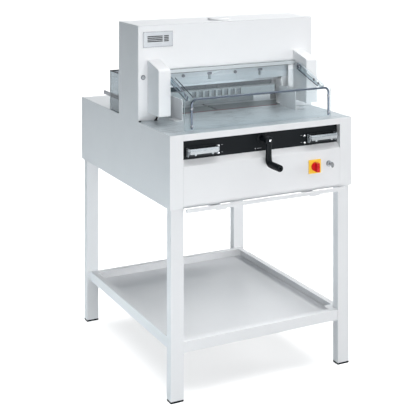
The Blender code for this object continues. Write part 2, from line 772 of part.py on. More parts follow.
def make_rear_guard(datum):
    half = REAR_GUARD_HALF
    sheet = REAR_GUARD_SHEET
    low = REAR_TABLE_TOP + GAP
    top = REAR_GUARD_TOP
    outline = [
        (half, low),
        (half, top),
        (-half, top),
        (-half, low),
        (-half + sheet, low),
        (-half + sheet, top - sheet),
        (half - sheet, top - sheet),
        (half - sheet, low),
    ]
    guard = prism(outline, "Y", TOWER_REAR + 0.0005, REAR_GUARD_BACK)
    name_piece(guard, "rear_guard", "clear_sheet", datum)


# ---------------------------------------------------------------- front guard


def make_front_guard(datum):
    pivot = (0, GUARD_PIVOT_Y, GUARD_PIVOT_Z)
    holder = empty("guard_pivot", pivot, datum)
    back = GUARD_FRONT + GUARD_SHEET
    face = box((GUARD_LEFT, GUARD_RIGHT), (GUARD_FRONT, back), (GUARD_LOW, GUARD_TOP))
    run = GUARD_PIVOT_Y - 0.020 - back
    rise = GUARD_PIVOT_Z - 0.007 - GUARD_TOP
    roof_drop = 0.0045
    slope = [
        (GUARD_FRONT + 0.001, GUARD_TOP - roof_drop),
        (GUARD_FRONT + 0.001, GUARD_TOP),
        (back + run, GUARD_TOP + rise),
        (back + run, GUARD_TOP + rise - roof_drop),
    ]
    roof = prism(slope, "X", -ARM_INNER + 2 * GAP, ARM_INNER - 2 * GAP)
    name_piece(join(face, roof), "guard_panel", "clear_sheet", holder, pivot)

    for side, x_sign in (("left", -1), ("right", 1)):
        tip = Vector((back + 0.007, GUARD_TOP + 0.0005))
        direction = (tip - Vector((GUARD_PIVOT_Y, GUARD_PIVOT_Z))).normalized()
        across = Vector((-direction.y, direction.x)) * ARM_HALF_WIDTH
        heading = math.degrees(math.atan2(direction.y, direction.x))
        pivot_point = (GUARD_PIVOT_Y, GUARD_PIVOT_Z)
        eye = arc(pivot_point, ARM_EYE_RADIUS, heading - 110, heading - 250, 12)
        outline = eye + [tuple(tip + across), tuple(tip - across)]
        x = sorted((x_sign * ARM_INNER, x_sign * ARM_OUTER))
        arm = prism(outline, "X", x[0], x[1])
        ends = sorted((x_sign * (ARM_INNER + 0.002), x_sign * ARM_PIN_END))
        pin = cylinder(pivot_point, GUARD_PIN_RADIUS, "X", ends[0], ends[1])
        name_piece(join(arm, pin), f"guard_arm_{side}", "bright_steel", holder, pivot)

    bend_z = WIRE_TOP - WIRE_BEND
    left_bend = arc((WIRE_LEFT + WIRE_BEND, bend_z), WIRE_BEND, 180, 90, 6)
    right_bend = arc((WIRE_RIGHT - WIRE_BEND, bend_z), WIRE_BEND, 90, 0, 6)
    path = [(WIRE_LEFT, WIRE_LOW)] + left_bend + right_bend + [(WIRE_RIGHT, WIRE_LOW)]
    wire = rod_along([Vector((x, WIRE_Y, z)) for x, z in path], WIRE_RADIUS, 12)
    name_piece(wire, "guard_wire", "bright_steel", holder, pivot)


# ---------------------------------------------------------------- blade and drive


def make_blade_unit(datum):
    pin_point = (ROD_X, ROD_Y, ROD_TOP_Z)
    holder = empty("blade_slide", pin_point, datum)
    height = (CARRIER_LOW, CARRIER_HIGH)
    carrier = box((CARRIER_MAIN_LEFT, CARRIER_RIGHT), (CARRIER_FRONT, CARRIER_REAR), height)
    pad_y = (CARRIER_REAR - 0.0005, CARRIER_PAD_REAR)
    left_pad = box((CARRIER_LEFT, -CARRIER_PAD_INNER), pad_y, height)
    right_pad = box((CARRIER_PAD_INNER, CARRIER_RIGHT), pad_y, height)
    pin_y = (CARRIER_FRONT + 0.0005, CARRIER_REAR + 0.003)
    pin = cylinder((ROD_X, ROD_TOP_Z), ROD_PIN_RADIUS, "Y", *pin_y)
    carrier = join(carrier, left_pad, right_pad, pin)
    through_y = (CARRIER_FRONT - OVERSHOOT, CARRIER_REAR + OVERSHOOT)
    openings = [cylinder((x, BOLT_Z), BOLT_HEAD_SINK, "Y", *through_y) for x in BOLT_XS]
    for x in SLOT_XS:
        slot_x = (x - SLOT_WIDTH / 2, x + SLOT_WIDTH / 2)
        openings.append(box(slot_x, through_y, (SLOT_LOW, SLOT_HIGH)))
    name_piece(cut(carrier, *openings), "blade_carrier", "grey_paint", holder, pin_point)

    section = [
        (CUT_PLANE, BLADE_EDGE),
        (CUT_PLANE, BLADE_TOP),
        (BLADE_FRONT, BLADE_TOP),
        (BLADE_FRONT, BLADE_BEVEL_TOP),
    ]
    blade = prism(section, "X", -BLADE_HALF, BLADE_HALF)
    hole_y = (BLADE_FRONT - OVERSHOOT, CUT_PLANE + OVERSHOOT)
    holes = [cylinder((x, BOLT_Z), BLADE_HOLE_RADIUS, "Y", *hole_y) for x in BOLT_XS]
    name_piece(cut(blade, *holes), "blade", "bright_steel", holder, pin_point)

    for number, x in enumerate(BOLT_XS, start=1):
        head_y = (CARRIER_FRONT - 0.004, CARRIER_REAR - 0.001)
        head = cylinder((x, BOLT_Z), BOLT_HEAD_RADIUS, "Y", *head_y)
        shank = cylinder((x, BOLT_Z), BOLT_SHANK_RADIUS, "Y", CARRIER_FRONT, CUT_PLANE - 0.001)
        socket_y = (CARRIER_FRONT - OVERSHOOT, CARRIER_FRONT - 0.001)
        socket = cylinder((x, BOLT_Z), BOLT_SOCKET_RADIUS, "Y", *socket_y, 6)
        bolt = cut(join(head, shank), socket)
        name_piece(bolt, f"blade_bolt_{number}", "dark_steel", holder, pin_point)

    bottom = (ROD_X, ROD_TOP_Z - ROD_LENGTH)
    outline = stadium((ROD_X, ROD_TOP_Z), ROD_EYE_RADIUS, bottom, ROD_EYE_RADIUS)
    rod = prism(outline, "Y", ROD_FRONT, ROD_REAR)
    through_y = (ROD_FRONT - OVERSHOOT, ROD_REAR + OVERSHOOT)
    trim_z = (bottom[1] - ROD_NECK, ROD_TOP_Z - ROD_NECK)
    left_trim = box((ROD_X - ROD_NECK, ROD_X - ROD_WIDTH / 2), through_y, trim_z)
    right_trim = box((ROD_X + ROD_WIDTH / 2, ROD_X + ROD_NECK), through_y, trim_z)
    eye = cylinder((ROD_X, ROD_TOP_Z), ROD_BORE_RADIUS, "Y", *through_y)
    through_x = (ROD_X - ROD_NECK, ROD_X + ROD_NECK)
    cross_hole = cylinder((ROD_Y, bottom[1]), BOLT_SHANK_RADIUS, "X", *through_x, 16)
    rod = cut(rod, left_trim, right_trim, eye, cross_hole)
    rod_holder = empty("pull_rod_pivot", pin_point, datum)
    name_piece(rod, "pull_rod", "dark_steel", rod_holder, pin_point)


def make_blade_drive(datum):
    axle = (0, ROD_Y, CRANK_Z)
    holder = empty("drive_crank_axle", axle, datum)
    top = (ROD_Y, CRANK_Z + CRANK_RADIUS)
    web = prism(stadium(top, 0.015, (ROD_Y, CRANK_Z), 0.019), "X", CRANK_WEB_OUTER, CRANK_WEB_INNER)
    shaft_x = (CRANK_WEB_INNER - 0.004, -0.260)
    shaft = cylinder((ROD_Y, CRANK_Z), DRIVE_SHAFT_RADIUS, "X", *shaft_x)
    pin = cylinder(top, 0.007, "X", -0.3264, CRANK_WEB_OUTER + 0.004)
    name_piece(join(web, shaft, pin), "drive_crank", "dark_steel", holder, axle)

    housing = box((GEARBOX_LEFT, GEARBOX_RIGHT), GEARBOX_Y, GEARBOX_Z)
    bore_x = (GEARBOX_LEFT - OVERSHOOT, -0.255)
    bore = cylinder((ROD_Y, CRANK_Z), DRIVE_SHAFT_RADIUS + GAP, "X", *bore_x)
    name_piece(cut(housing, bore), "drive_gearbox", "cast_iron", datum)

    left = GEARBOX_RIGHT + GAP
    motor = turned(
        [
            (MOTOR_RADIUS + 0.006, left),
            (MOTOR_RADIUS + 0.006, left + 0.008),
            (MOTOR_RADIUS, left + 0.010),
            (MOTOR_RADIUS, left + MOTOR_LENGTH - 0.012),
            (MOTOR_RADIUS - 0.008, left + MOTOR_LENGTH),
        ],
        (MOTOR_Y, MOTOR_Z),
        "X",
        32,
    )
    name_piece(motor, "drive_motor", "black_paint", datum)


# ---------------------------------------------------------------- clamp


def make_clamp(datum):
    axis_point = (SPINDLE_X, SPINDLE_Y, CLAMP_WEB_TOP)
    holder = empty("clamp_slide", axis_point, datum)
    foot = box((CLAMP_LEFT, CLAMP_RIGHT), (CLAMP_FRONT, CLAMP_REAR), (CLAMP_BASE, CLAMP_FOOT_TOP))
    web_x = (CLAMP_LEFT + 0.004, CLAMP_RIGHT - 0.012)
    web_low = CLAMP_FOOT_TOP - 0.004
    web = box(web_x, (CLAMP_WEB_FRONT, CLAMP_WEB_REAR), (web_low, CLAMP_WEB_TOP))
    spindle_place = (SPINDLE_X, SPINDLE_Y)
    boss = cylinder(spindle_place, CLAMP_BOSS_RADIUS, "Z", web_low, CLAMP_WEB_TOP - 0.001)
    beam = join(foot, web, boss)
    bore_z = (1.036, CLAMP_WEB_TOP + OVERSHOOT)
    cutters = [cylinder(spindle_place, SPINDLE_RADIUS + GAP, "Z", *bore_z)]
    notch_y = (CLAMP_FRONT - OVERSHOOT, CLAMP_FRONT + CLAMP_NOTCH_DEPTH)
    for index in range(CLAMP_NOTCH_COUNT):
        x = CLAMP_NOTCH_LEFT + index * CLAMP_NOTCH_PITCH
        notch_x = (x, x + CLAMP_NOTCH_WIDTH)
        cutters.append(box(notch_x, notch_y, (CLAMP_NOTCH_LOW, CLAMP_NOTCH_HIGH)))
    name_piece(cut(beam, *cutters), "clamp_beam", "grey_paint", holder, axis_point)

    spindle_holder = empty("clamp_spindle_axis", axis_point, datum)
    spindle = turned(
        [
            (SPINDLE_RADIUS - 0.0015, SPINDLE_LOW),
            (SPINDLE_RADIUS, SPINDLE_LOW + 0.0015),
            (SPINDLE_RADIUS, SPINDLE_HIGH),
        ],
        (SPINDLE_X, SPINDLE_Y),
        "Z",
        24,
    )
    name_piece(spindle, "clamp_spindle", "bright_steel", spindle_holder, axis_point)

    low = PORTAL_TOP + GAP
    housing = box((-GEARMOTOR_HALF, GEARMOTOR_HALF), GEARMOTOR_Y, (low, GEARMOTOR_TOP))
    motor_place = ((GEARMOTOR_Y[0] + GEARMOTOR_Y[1]) / 2, GEARMOTOR_TOP - 0.0205)
    motor = cylinder(motor_place, 0.020, "X", GEARMOTOR_HALF - 0.005, 0.160)
    bore_z = (low - OVERSHOOT, SPINDLE_HIGH + 0.002)
    bore = cylinder(spindle_place, SPINDLE_RADIUS + GAP, "Z", *bore_z)
    name_piece(cut(join(housing, motor), bore), "clamp_gearmotor", "black_paint", datum)


# ---------------------------------------------------------------- backgauge


def make_backgauge(datum):
    start = (0, GAUGE_FACE, SCREW_Z)
    holder = empty("backgauge_slide", start, datum)
    low = REAR_TABLE_TOP + GAP
    rear = GAUGE_FACE + GAUGE_DEPTH
    wall = 0.012
    section = [
        (GAUGE_FACE, low),
        (GAUGE_FACE, GAUGE_TOP),
        (GAUGE_FACE + wall, GAUGE_TOP),
        (GAUGE_FACE + wall, low + wall),
        (rear, low + wall),
        (rear, low),
    ]
    gauge = prism(section, "X", -GAUGE_HALF, GAUGE_HALF)
    ribs = []
    for x in (-GAUGE_HALF + wall, -0.060, 0.060, GAUGE_HALF - wall):
        rib = [
            (GAUGE_FACE + 0.010, low + 0.008),
            (GAUGE_FACE + 0.010, GAUGE_TOP - 0.004),
            (GAUGE_FACE + 0.016, GAUGE_TOP - 0.004),
            (rear - 0.006, low + 0.008),
        ]
        ribs.append(prism(rib, "X", x - 0.004, x + 0.004))
    name_piece(join(gauge, *ribs), "backgauge", "grey_paint", holder, start)

    nut_y = (GAUGE_FACE - 0.007, GAUGE_FACE + 0.023)
    nut = box((-NUT_HALF_WIDTH, NUT_HALF_WIDTH), nut_y, (SCREW_Z - NUT_RISE, SCREW_Z + NUT_RISE))
    post_half = SLOT_HALF - 0.001
    post_z = (SCREW_Z + NUT_RISE - 0.005, REAR_TABLE_TOP)
    post = box((-post_half, post_half), (GAUGE_FACE - 0.002, GAUGE_FACE + 0.018), post_z)
    bore_y = (nut_y[0] - OVERSHOOT, nut_y[1] + OVERSHOOT)
    bore = cylinder((0, SCREW_Z), SCREW_RADIUS + GAP, "Y", *bore_y)
    name_piece(cut(join(nut, post), bore), "backgauge_carriage", "dark_steel", holder, start)


def make_crank(datum):
    axis_point = (0, 0, SCREW_Z)
    holder = empty("backgauge_crank_axis", axis_point, datum)
    profile = [
        (0.0060, ARM_REAR + 0.002),
        (0.0060, 0.052),
        (SCREW_RADIUS, 0.054),
        (SCREW_RADIUS, 0.834),
        (0.0065, 0.836),
        (0.0065, 0.850),
    ]
    name_piece(turned(profile, (0, SCREW_Z), "Y", 24), "lead_screw", "bright_steel", holder, axis_point)

    lower = (0, SCREW_Z - ARM_LENGTH)
    arm = prism(stadium((0, SCREW_Z), HUB_RADIUS, lower, 0.0135, 12), "Y", ARM_FRONT, ARM_REAR)
    hub = cylinder((0, SCREW_Z), HUB_RADIUS - 0.0005, "Y", ARM_REAR - 0.006, 0.040)
    pin = cylinder(lower, 0.0045, "Y", -0.104, ARM_FRONT + 0.006, 16)
    bore = cylinder((0, SCREW_Z), 0.0060 + GAP, "Y", ARM_REAR, 0.06)
    name_piece(cut(join(arm, hub, pin), bore), "crank_arm", "black_plastic", holder, axis_point)

    grip_point = (0, ARM_FRONT, lower[1])
    grip_holder = empty("crank_grip_axis", grip_point, datum)
    grip = turned(
        [
            (GRIP_RADIUS - 0.002, -HANDLE_REACH),
            (GRIP_RADIUS, -HANDLE_REACH + 0.002),
            (GRIP_RADIUS, -0.070),
            (GRIP_RADIUS - 0.001, ARM_FRONT - 0.002),
            (GRIP_RADIUS - 0.002, ARM_FRONT - GAP),
        ],
        lower,
        "Y",
    )
    bore = cylinder(lower, 0.0045 + GAP, "Y", -0.13, 0.0, 16)
    name_piece(cut(grip, bore), "crank_grip", "black_plastic", grip_holder, grip_point)


# ---------------------------------------------------------------- controls


def make_control_bars(datum):
    for side, middle in (("left", LEFT_BAR_X), ("right", RIGHT_BAR_X)):
        half = BAR_LENGTH / 2
        pivot = (middle, BAR_PIVOT_Y, BAR_PIVOT_Z)
        holder = empty(f"control_bar_{side}_pivot", pivot, datum)
        section = [
            (-0.008, BAR_LOW),
            (-0.008, BAR_TOP - 0.007),
            (-0.003, BAR_TOP),
            (0.010, BAR_TOP),
            (0.010, BAR_TOP - 0.011),
            (-0.002, BAR_TOP - 0.014),
            (-0.002, BAR_LOW),
        ]
        bar = prism(section, "X", middle - half, middle + half)
        pin_reach = half + 0.004
        pivot_point = (BAR_PIVOT_Y, BAR_PIVOT_Z)
        pin = cylinder(pivot_point, BAR_PIN_RADIUS, "X", middle - pin_reach, middle + pin_reach, 16)
        name_piece(join(bar, pin), f"control_bar_{side}", "bright_steel", holder, pivot)

        outer = half + 0.0035
        back_y = (0.0185, FASCIA_FRONT - GAP)
        bracket = box((middle - outer, middle + outer), back_y, (BRACKET_LOW, BRACKET_TOP))
        ears = []
        holes = []
        for x_sign in (-1, 1):
            x = sorted((middle + x_sign * (half + 0.0005), middle + x_sign * outer))
            outline = [
                (0.0200, BRACKET_LOW + 0.003),
                (0.0200, BRACKET_TOP - 0.002),
                (-0.001, BRACKET_TOP - 0.002),
                (-0.004, BRACKET_TOP - 0.007),
                (-0.004, BAR_LOW + 0.006),
                (0.006, BRACKET_LOW + 0.003),
            ]
            ears.append(prism(outline, "X", x[0], x[1]))
            hole_x = (x[0] - OVERSHOOT, x[1] + OVERSHOOT)
            holes.append(cylinder(pivot_point, BAR_PIN_RADIUS + GAP, "X", *hole_x, 16))
        name_piece(cut(join(bracket, *ears), *holes), f"control_bracket_{side}", "bright_steel", datum)


def make_main_switch(datum):
    plate_x = (SWITCH_X - SWITCH_PLATE_HALF, SWITCH_X + SWITCH_PLATE_HALF)
    plate_rise = SWITCH_PLATE_HALF - 0.001
    plate = box(plate_x, (-0.004, -GAP), (SWITCH_Z - plate_rise, SWITCH_Z + plate_rise))
    body_x = (SWITCH_X - SWITCH_BODY_HALF, SWITCH_X + SWITCH_BODY_HALF)
    body_z = (SWITCH_Z - SWITCH_BODY_HALF, SWITCH_Z + SWITCH_BODY_HALF)
    body = box(body_x, (-0.002, 0.043), body_z)
    name_piece(join(plate, body), "main_switch_body", "yellow_plastic", datum)

    pivot = (SWITCH_X, 0, SWITCH_Z)
    holder = empty("main_switch_axis", pivot, datum)
    knob = 0.0165
    base = turned([(knob, -0.0043), (knob, -0.011), (knob - 0.0015, -0.013)], (SWITCH_X, SWITCH_Z), "Y")
    grip_x = (SWITCH_X - 0.006, SWITCH_X + 0.006)
    grip = box(grip_x, (-0.028, -0.012), (SWITCH_Z - knob, SWITCH_Z + knob))
    name_piece(join(base, grip), "main_switch_knob", "red_plastic", holder, pivot)


def make_key_switch(datum):
    barrel = turned(
        [
            (KEY_BARREL_RADIUS, 0.035),
            (KEY_BARREL_RADIUS, -GAP),
            (KEY_BARREL_RADIUS + 0.003, -GAP),
            (KEY_BARREL_RADIUS + 0.003, -0.005),
            (KEY_BARREL_RADIUS + 0.002, -0.007),
        ],
        (KEY_X, KEY_Z),
        "Y",
    )
    keyway_x = (KEY_X - 0.0016, KEY_X + 0.0016)
    keyway = box(keyway_x, (-0.020, 0.012), (KEY_Z - 0.0046, KEY_Z + 0.0046))
    name_piece(cut(barrel, keyway), "key_barrel", "bright_steel", datum)

    pivot = (KEY_X, 0, KEY_Z)
    holder = empty("key_axis", pivot, datum)
    bow = cylinder((-0.026, KEY_Z), 0.0105, "X", KEY_X - 0.00125, KEY_X + 0.00125)
    shank_z = (KEY_Z - 0.0030, KEY_Z + 0.0030)
    shank = box((KEY_X - 0.0008, KEY_X + 0.0008), (-0.020, -0.0075), shank_z)
    ring_hole = cylinder((-0.031, KEY_Z), 0.0025, "X", KEY_X - 0.01, KEY_X + 0.01, 12)
    name_piece(cut(join(bow, shank), ring_hole), "key", "bright_steel", holder, pivot)


def make_light_button(datum):
    pivot = (BUTTON_X, TOWER_FRONT, BUTTON_Z)
    holder = empty("light_button_axis", pivot, datum)
    button = turned(
        [(BUTTON_RADIUS - 0.001, 0.276), (BUTTON_RADIUS, 0.277), (BUTTON_RADIUS, 0.292)],
        (BUTTON_X, BUTTON_Z),
        "Y",
        24,
    )
    name_piece(button, "cut_light_button", "bright_steel", holder, pivot)


def make_press_bar(datum):
    pivot = (0, PRESS_BAR_PIVOT_Y, PRESS_BAR_PIVOT_Z)
    holder = empty("press_bar_pivot", pivot, datum)
    bar = box((-PRESS_BAR_HALF, PRESS_BAR_HALF), (-0.036, -0.024), (0.669, 0.681))
    arms = []
    for middle in (-PRESS_ARM_X, PRESS_ARM_X):
        arm_x = (middle - 0.020, middle + 0.020)
        arms.append(box(arm_x, (-0.035, PRESS_BAR_PIVOT_Y), (0.6645, 0.6705)))
    shaft_end = PRESS_LUG_X + 2 * FRAME_STEEL
    pivot_point = (PRESS_BAR_PIVOT_Y, PRESS_BAR_PIVOT_Z)
    shaft = cylinder(pivot_point, PRESS_SHAFT_RADIUS, "X", -shaft_end, shaft_end)
    name_piece(join(bar, *arms, shaft), "clamp_press_bar", "white_paint", holder, pivot)


def main():
    clear_scene()
    datum = empty("cabinet_front_datum", (0, FRONT_Y, 0))
    make_legs(datum)
    make_shelf_tray(datum)
    make_chassis(datum)
    make_side_covers(datum)
    make_front_cover(datum)
    make_rear_cover(datum)
    make_tables(datum)
    make_side_lays(datum)
    make_machine_frame(datum)
    make_tower_covers(datum)
    make_guard_bearings(datum)
    make_rear_guard(datum)
    make_front_guard(datum)
    make_blade_unit(datum)
    make_blade_drive(datum)
    make_clamp(datum)
    make_backgauge(datum)
    make_crank(datum)
    make_control_bars(datum)
    make_main_switch(datum)
    make_key_switch(datum)
    make_light_button(datum)
    make_press_bar(datum)


main()
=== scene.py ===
"""Looks for the electric paper guillotine: finishes, small hardware, camera and studio.

Every CAD node keeps its shape. It gets softened edges and a procedural finish here. The crank's
arm and grip are modelled again as smooth mouldings, and small hardware rides on the CAD bodies.
Metres, +Z up, the operator at -Y.
"""

import math

import bmesh
import bpy
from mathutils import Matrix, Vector


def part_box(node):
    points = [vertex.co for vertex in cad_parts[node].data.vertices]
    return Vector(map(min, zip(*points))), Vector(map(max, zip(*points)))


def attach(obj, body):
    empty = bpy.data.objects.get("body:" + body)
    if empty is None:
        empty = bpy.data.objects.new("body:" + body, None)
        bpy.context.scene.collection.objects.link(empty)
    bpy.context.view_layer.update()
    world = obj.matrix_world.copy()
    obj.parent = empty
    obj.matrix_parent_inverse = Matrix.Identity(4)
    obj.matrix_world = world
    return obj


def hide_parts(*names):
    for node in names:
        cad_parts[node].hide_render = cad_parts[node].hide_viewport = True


FRONT = Vector((0, -1, 0))
BACK = Vector((0, 1, 0))
LEFT = Vector((-1, 0, 0))
RIGHT = Vector((1, 0, 0))
UP = Vector((0, 0, 1))
DOWN = Vector((0, 0, -1))

# Edge softening
FINE_EDGE = 0.00035
SHEET_EDGE = 0.0007
MOULDED_EDGE = 0.0012
KNOB_EDGE = 0.0018
EDGE_STEPS = 3
EDGE_ANGLE = math.radians(32)
SHARP_ANGLE = math.radians(38)
FLAT_ANGLE = math.radians(0.5)
WELD_DISTANCE = 0.00002

# Crank arm: a flat moulding with a slight waist that bends into a round collar
CRANK_BEND = 0.017
ARM_SETBACK = 0.0073
ARM_TOP = 0.004
ARM_HALF_WIDTH = 0.0118
ARM_HALF_DEPTH = 0.0070
ARM_WAIST = 0.0012
ARM_SQUARENESS = 0.62
ARM_SIDES = 28
ARM_STEPS = 9
BEND_STEPS = 10
COLLAR_WIDER = 0.0005
COLLAR_DEEPER = 0.0053
COLLAR_GAP = 0.0006
HUB_FACE = 0.0090
GRIP_STEPS = 8

# Control band: each bar's side, with the direction from it to the band's middle
BAR_SIDES = (("left", 1), ("right", -1))
BRACKET_PLATE = 0.0032
INK_THICKNESS = 0.00025

# Thin stays along the guard's roof, and the guard switch's cable
STAY_INSET = 0.020
STAY_RADIUS = 0.0016
CABLE_STEPS = 8
CABLE_SWAY = Vector((0.0012, -0.0015, 0))

# Name plate
PLATE_RELIEF = 0.00035
PLATE_BORDER = 0.0022
CORNER_GAP = 0.0001
SHEET_ROWS = 4
SHEET_PITCH = 0.0062
SHEET_HEIGHT = 0.0040

# Rear guard's rim and rails
RIM_WIDTH = 0.0052
RIM_RISE = 0.0018
GUARD_RAIL_LOW = 0.982
GUARD_RAIL_TOP = 0.996
GUARD_RAIL_REACH = 0.1785

# Clamp, rail gaskets, carrier nuts and cover screws
CLAMP_FOOT_TOP = 1.0185
CLAMP_RIB_PLACE = 0.3145
CLAMP_STRIP_RELIEF = 0.0009
SEAM_HEIGHT = 0.0014
SEAM_DEPTH = 0.0006
NUT_WIDTH = 0.019
NUT_HEIGHT = 0.0085
NUT_THICKNESS = 0.003
NUT_OFFSET = 0.1195
SCREW_SINK = 0.0006

# A level above the whole machine, for coats that don't change with height
TOP_LEVEL = 2.0

# Colours, as reflectance
PAINT_WHITE = (0.815, 0.822, 0.835)
PAINT_GREY = (0.62, 0.67, 0.70)
PAINT_BLACK = (0.006, 0.008, 0.010)
MOULDED_BLACK = (0.004, 0.006, 0.008)
TABLE_STEEL = (0.70, 0.745, 0.77)
BRIGHT_STEEL = (0.78, 0.79, 0.81)
SATIN_STEEL = (0.30, 0.32, 0.335)
DARK_STEEL = (0.20, 0.21, 0.23)
WIRE_STEEL = (0.075, 0.09, 0.115)
# Painted light and shade on one rear table: the next colour darkens it where it runs under the tower,
# and the paler one after lightens it behind the tower.
THROAT_SHADE_STEEL = (0.30, 0.34, 0.36)
REAR_LIT_PALE = (0.86, 0.87, 0.88)
ZINC = (0.42, 0.45, 0.48)
RAIL_GREY = (0.60, 0.64, 0.66)
CLAMP_GREY = (0.42, 0.47, 0.49)
# Painted shade: the next colour darkens the clamp inside its notches, and the one after is near black
# over the clamp above its foot, where the gap under the carrier is in shade.
CLAMP_RECESS_SHADE = (0.22, 0.26, 0.28)
CLAMP_SHADE = (0.036, 0.054, 0.066)
CAST_IRON = (0.16, 0.18, 0.20)
SIGNAL_RED = (0.66, 0.004, 0.012)
STICK_RED = (0.22, 0.02, 0.03)
SIGNAL_YELLOW = (0.99, 0.62, 0.055)
PLATE_METAL = (0.30, 0.315, 0.33)
INK_DARK = (0.02, 0.022, 0.025)
INK_PALE = (0.34, 0.35, 0.37)
RUBBER = (0.010, 0.010, 0.011)
LENS_WHITE = (0.42, 0.44, 0.46)

# Clear sheets: tints, edge colours, and how much their faces mirror
CLEAR_TINT = (0.95, 0.975, 0.985)
SMOKED_TINT = (0.48, 0.525, 0.55)
# Painted shade: a darker tint for the left guard arm, which is the same acrylic as the right one.
SHADED_ARM_TINT = (0.80, 0.85, 0.88)
EDGE_FROST = (0.80, 0.88, 0.90)
# Painted shade on the left guard arm's edges, then painted light on the right arm's edges.
SHADED_ARM_EDGE = (0.08, 0.10, 0.13)
LIT_ARM_EDGE = (0.50, 0.56, 0.60)
SHEET_MIRROR = 0.035
SHEET_GLANCE = 0.85
SHEET_SHEEN = 0.03
GLANCE_POWER = 5.0

# Direction of the grinding or brushing lines: few along the lines, many across them
TABLE_LINES = (10, 1500, 1500)
BAR_LINES = (20, 700, 700)
SHAFT_LINES = (300, 300, 30)
PLATE_LINES = (30, 30, 900)

# Camera: level, looking across the machine from its front left, with the lens shifted down
CAMERA_PLACE = Vector((-1.908, -3.661, 1.706))
CAMERA_HEADING = math.radians(-27.2)
CAMERA_LENS = 89.4
CAMERA_SHIFT = -0.706
SHIFT_WINDOW = 0.02

# Studio
FLOOR_RADIUS = 60.0
FLOOR_PALE = (0.90, 0.90, 0.90)
FLOOR_BOUNCE = (0.05, 0.055, 0.06)
FLOOR_SUN = 4.3
ROOM_COLOUR = (0.90, 0.96, 1.0)
ROOM_BRIGHT_SIDE = (0.70, -0.55, 0.45)
ROOM_DARK = 0.28
ROOM_BRIGHT = 0.95
ROOM_AMBIENT = (0.025, 0.035, 0.042)
SIDE_COLOUR = (0.78, 0.93, 1.0)
LOW_COLOUR = (0.95, 0.98, 1.0)
FRONT_POWER = 145.0
HIGH_POWER = 5.0
TOP_POWER = 98.0
RIGHT_POWER = 88.0
SIDE_POWER = 16.5
LOW_POWER = 8.2
TRAY_POWER = 0.95
CHEEK_POWER = 1.4
REAR_POWER = 45.0
REAR_FACES = (
    "rear_cover",
    "tower_hood",
    "side_cover_left",
    "side_cover_right",
    "leg_rear_left",
    "leg_rear_right",
    "shelf_tray",
)

# Edge width by material slot, and the nodes that differ from their slot
SLOT_EDGES = {
    "white_paint": SHEET_EDGE,
    "grey_paint": SHEET_EDGE,
    "black_plastic": MOULDED_EDGE,
    "red_plastic": MOULDED_EDGE,
    "yellow_plastic": MOULDED_EDGE,
    "clear_sheet": 0.0,
    "cast_iron": MOULDED_EDGE,
}
NODE_LOOKS = {
    "rear_guard": ("smoked_sheet", 0.0),
    "guard_panel": ("clear_sheet", 0.0),
    "name_plate": ("plate", FINE_EDGE),
    "control_bar_left": ("satin_steel", FINE_EDGE),
    "control_bar_right": ("satin_steel", FINE_EDGE),
    "control_bracket_left": ("bracket_zinc", FINE_EDGE),
    "control_bracket_right": ("bracket_zinc", FINE_EDGE),
    "side_lay_left": ("white_paint", FINE_EDGE),
    "side_lay_right": ("white_paint", FINE_EDGE),
    "cut_light_button": ("lens", FINE_EDGE),
    "guard_wire": ("wire_steel", 0.0),
    "guard_arm_left": ("arm_sheet", 0.0),
    "guard_arm_right": ("lit_arm_sheet", 0.0),
    "lead_screw": ("dark_steel", FINE_EDGE),
    "rear_table": ("rear_table_lit_and_shaded", FINE_EDGE),
    "cutting_stick": ("stick_plastic", FINE_EDGE),
    "machine_frame": ("white_paint", MOULDED_EDGE),
    "cut_light_rail": ("rail_paint", FINE_EDGE),
    "key": ("satin_steel", FINE_EDGE),
    "key_barrel": ("satin_steel", FINE_EDGE),
    "clamp_beam": ("clamp_paint_and_shade", FINE_EDGE),
    "main_switch_knob": ("red_plastic", KNOB_EDGE),
}


# ---------------------------------------------------------------- shader helpers


def add(tree, kind, inputs=None, **settings):
    """Adds a shader node. Each input is a value or another node's output socket."""
    node = tree.nodes.new("ShaderNode" + kind)
    for key, value in settings.items():
        setattr(node, key, value)
    for key, value in (inputs or {}).items():
        if isinstance(value, bpy.types.NodeSocket):
            tree.links.new(value, node.inputs[key])
        else:
            node.inputs[key].default_value = value
    return node


def grain(tree, scale, detail=4.0, stretch=(1, 1, 1), roughness=0.55):
    """Noise fixed to the piece. The stretch multiplies the scale along each axis."""
    place = add(tree, "TexCoord").outputs["Object"]
    mapped = add(tree, "Mapping", {"Vector": place, "Scale": stretch}).outputs["Vector"]
    noise = add(
        tree,
        "TexNoise",
        {"Vector": mapped, "Scale": scale, "Detail": detail, "Roughness": roughness},
    )
    return noise.outputs["Fac"]


def ranged(tree, value, low, high):
    """Maps the middle of a noise's spread onto a range."""
    inputs = {"Value": value, "From Min": 0.3, "From Max": 0.7, "To Min": low, "To Max": high}
    return add(tree, "MapRange", inputs).outputs["Result"]


def blend_colour(tree, factor, first, second):
    """Mixes two colours, each a triple or another node's output socket."""
    node = add(tree, "Mix", {"Factor": factor}, data_type="RGBA")
    for index, colour in ((6, first), (7, second)):
        if isinstance(colour, bpy.types.NodeSocket):
            tree.links.new(colour, node.inputs[index])
        else:
            node.inputs[index].default_value = (*colour, 1)
    return node.outputs[2]


def bump(tree, height, depth):
    """A normal tilted by a height that spans the given depth."""
    return add(tree, "Bump", {"Height": height, "Distance": depth}).outputs["Normal"]


def surface(name, build):
    """A material whose tree and final shader come from the build function."""
    made = bpy.data.materials.new(name)
    made.use_nodes = True
    tree = made.node_tree
    tree.nodes.clear()
    output = add(tree, "OutputMaterial")
    tree.links.new(build(tree), output.inputs["Surface"])
    return made


def scaled(colour, factor):
    """A lighter or darker shade of a colour."""
    return tuple(channel * factor for channel in colour)


# ---------------------------------------------------------------- finishes


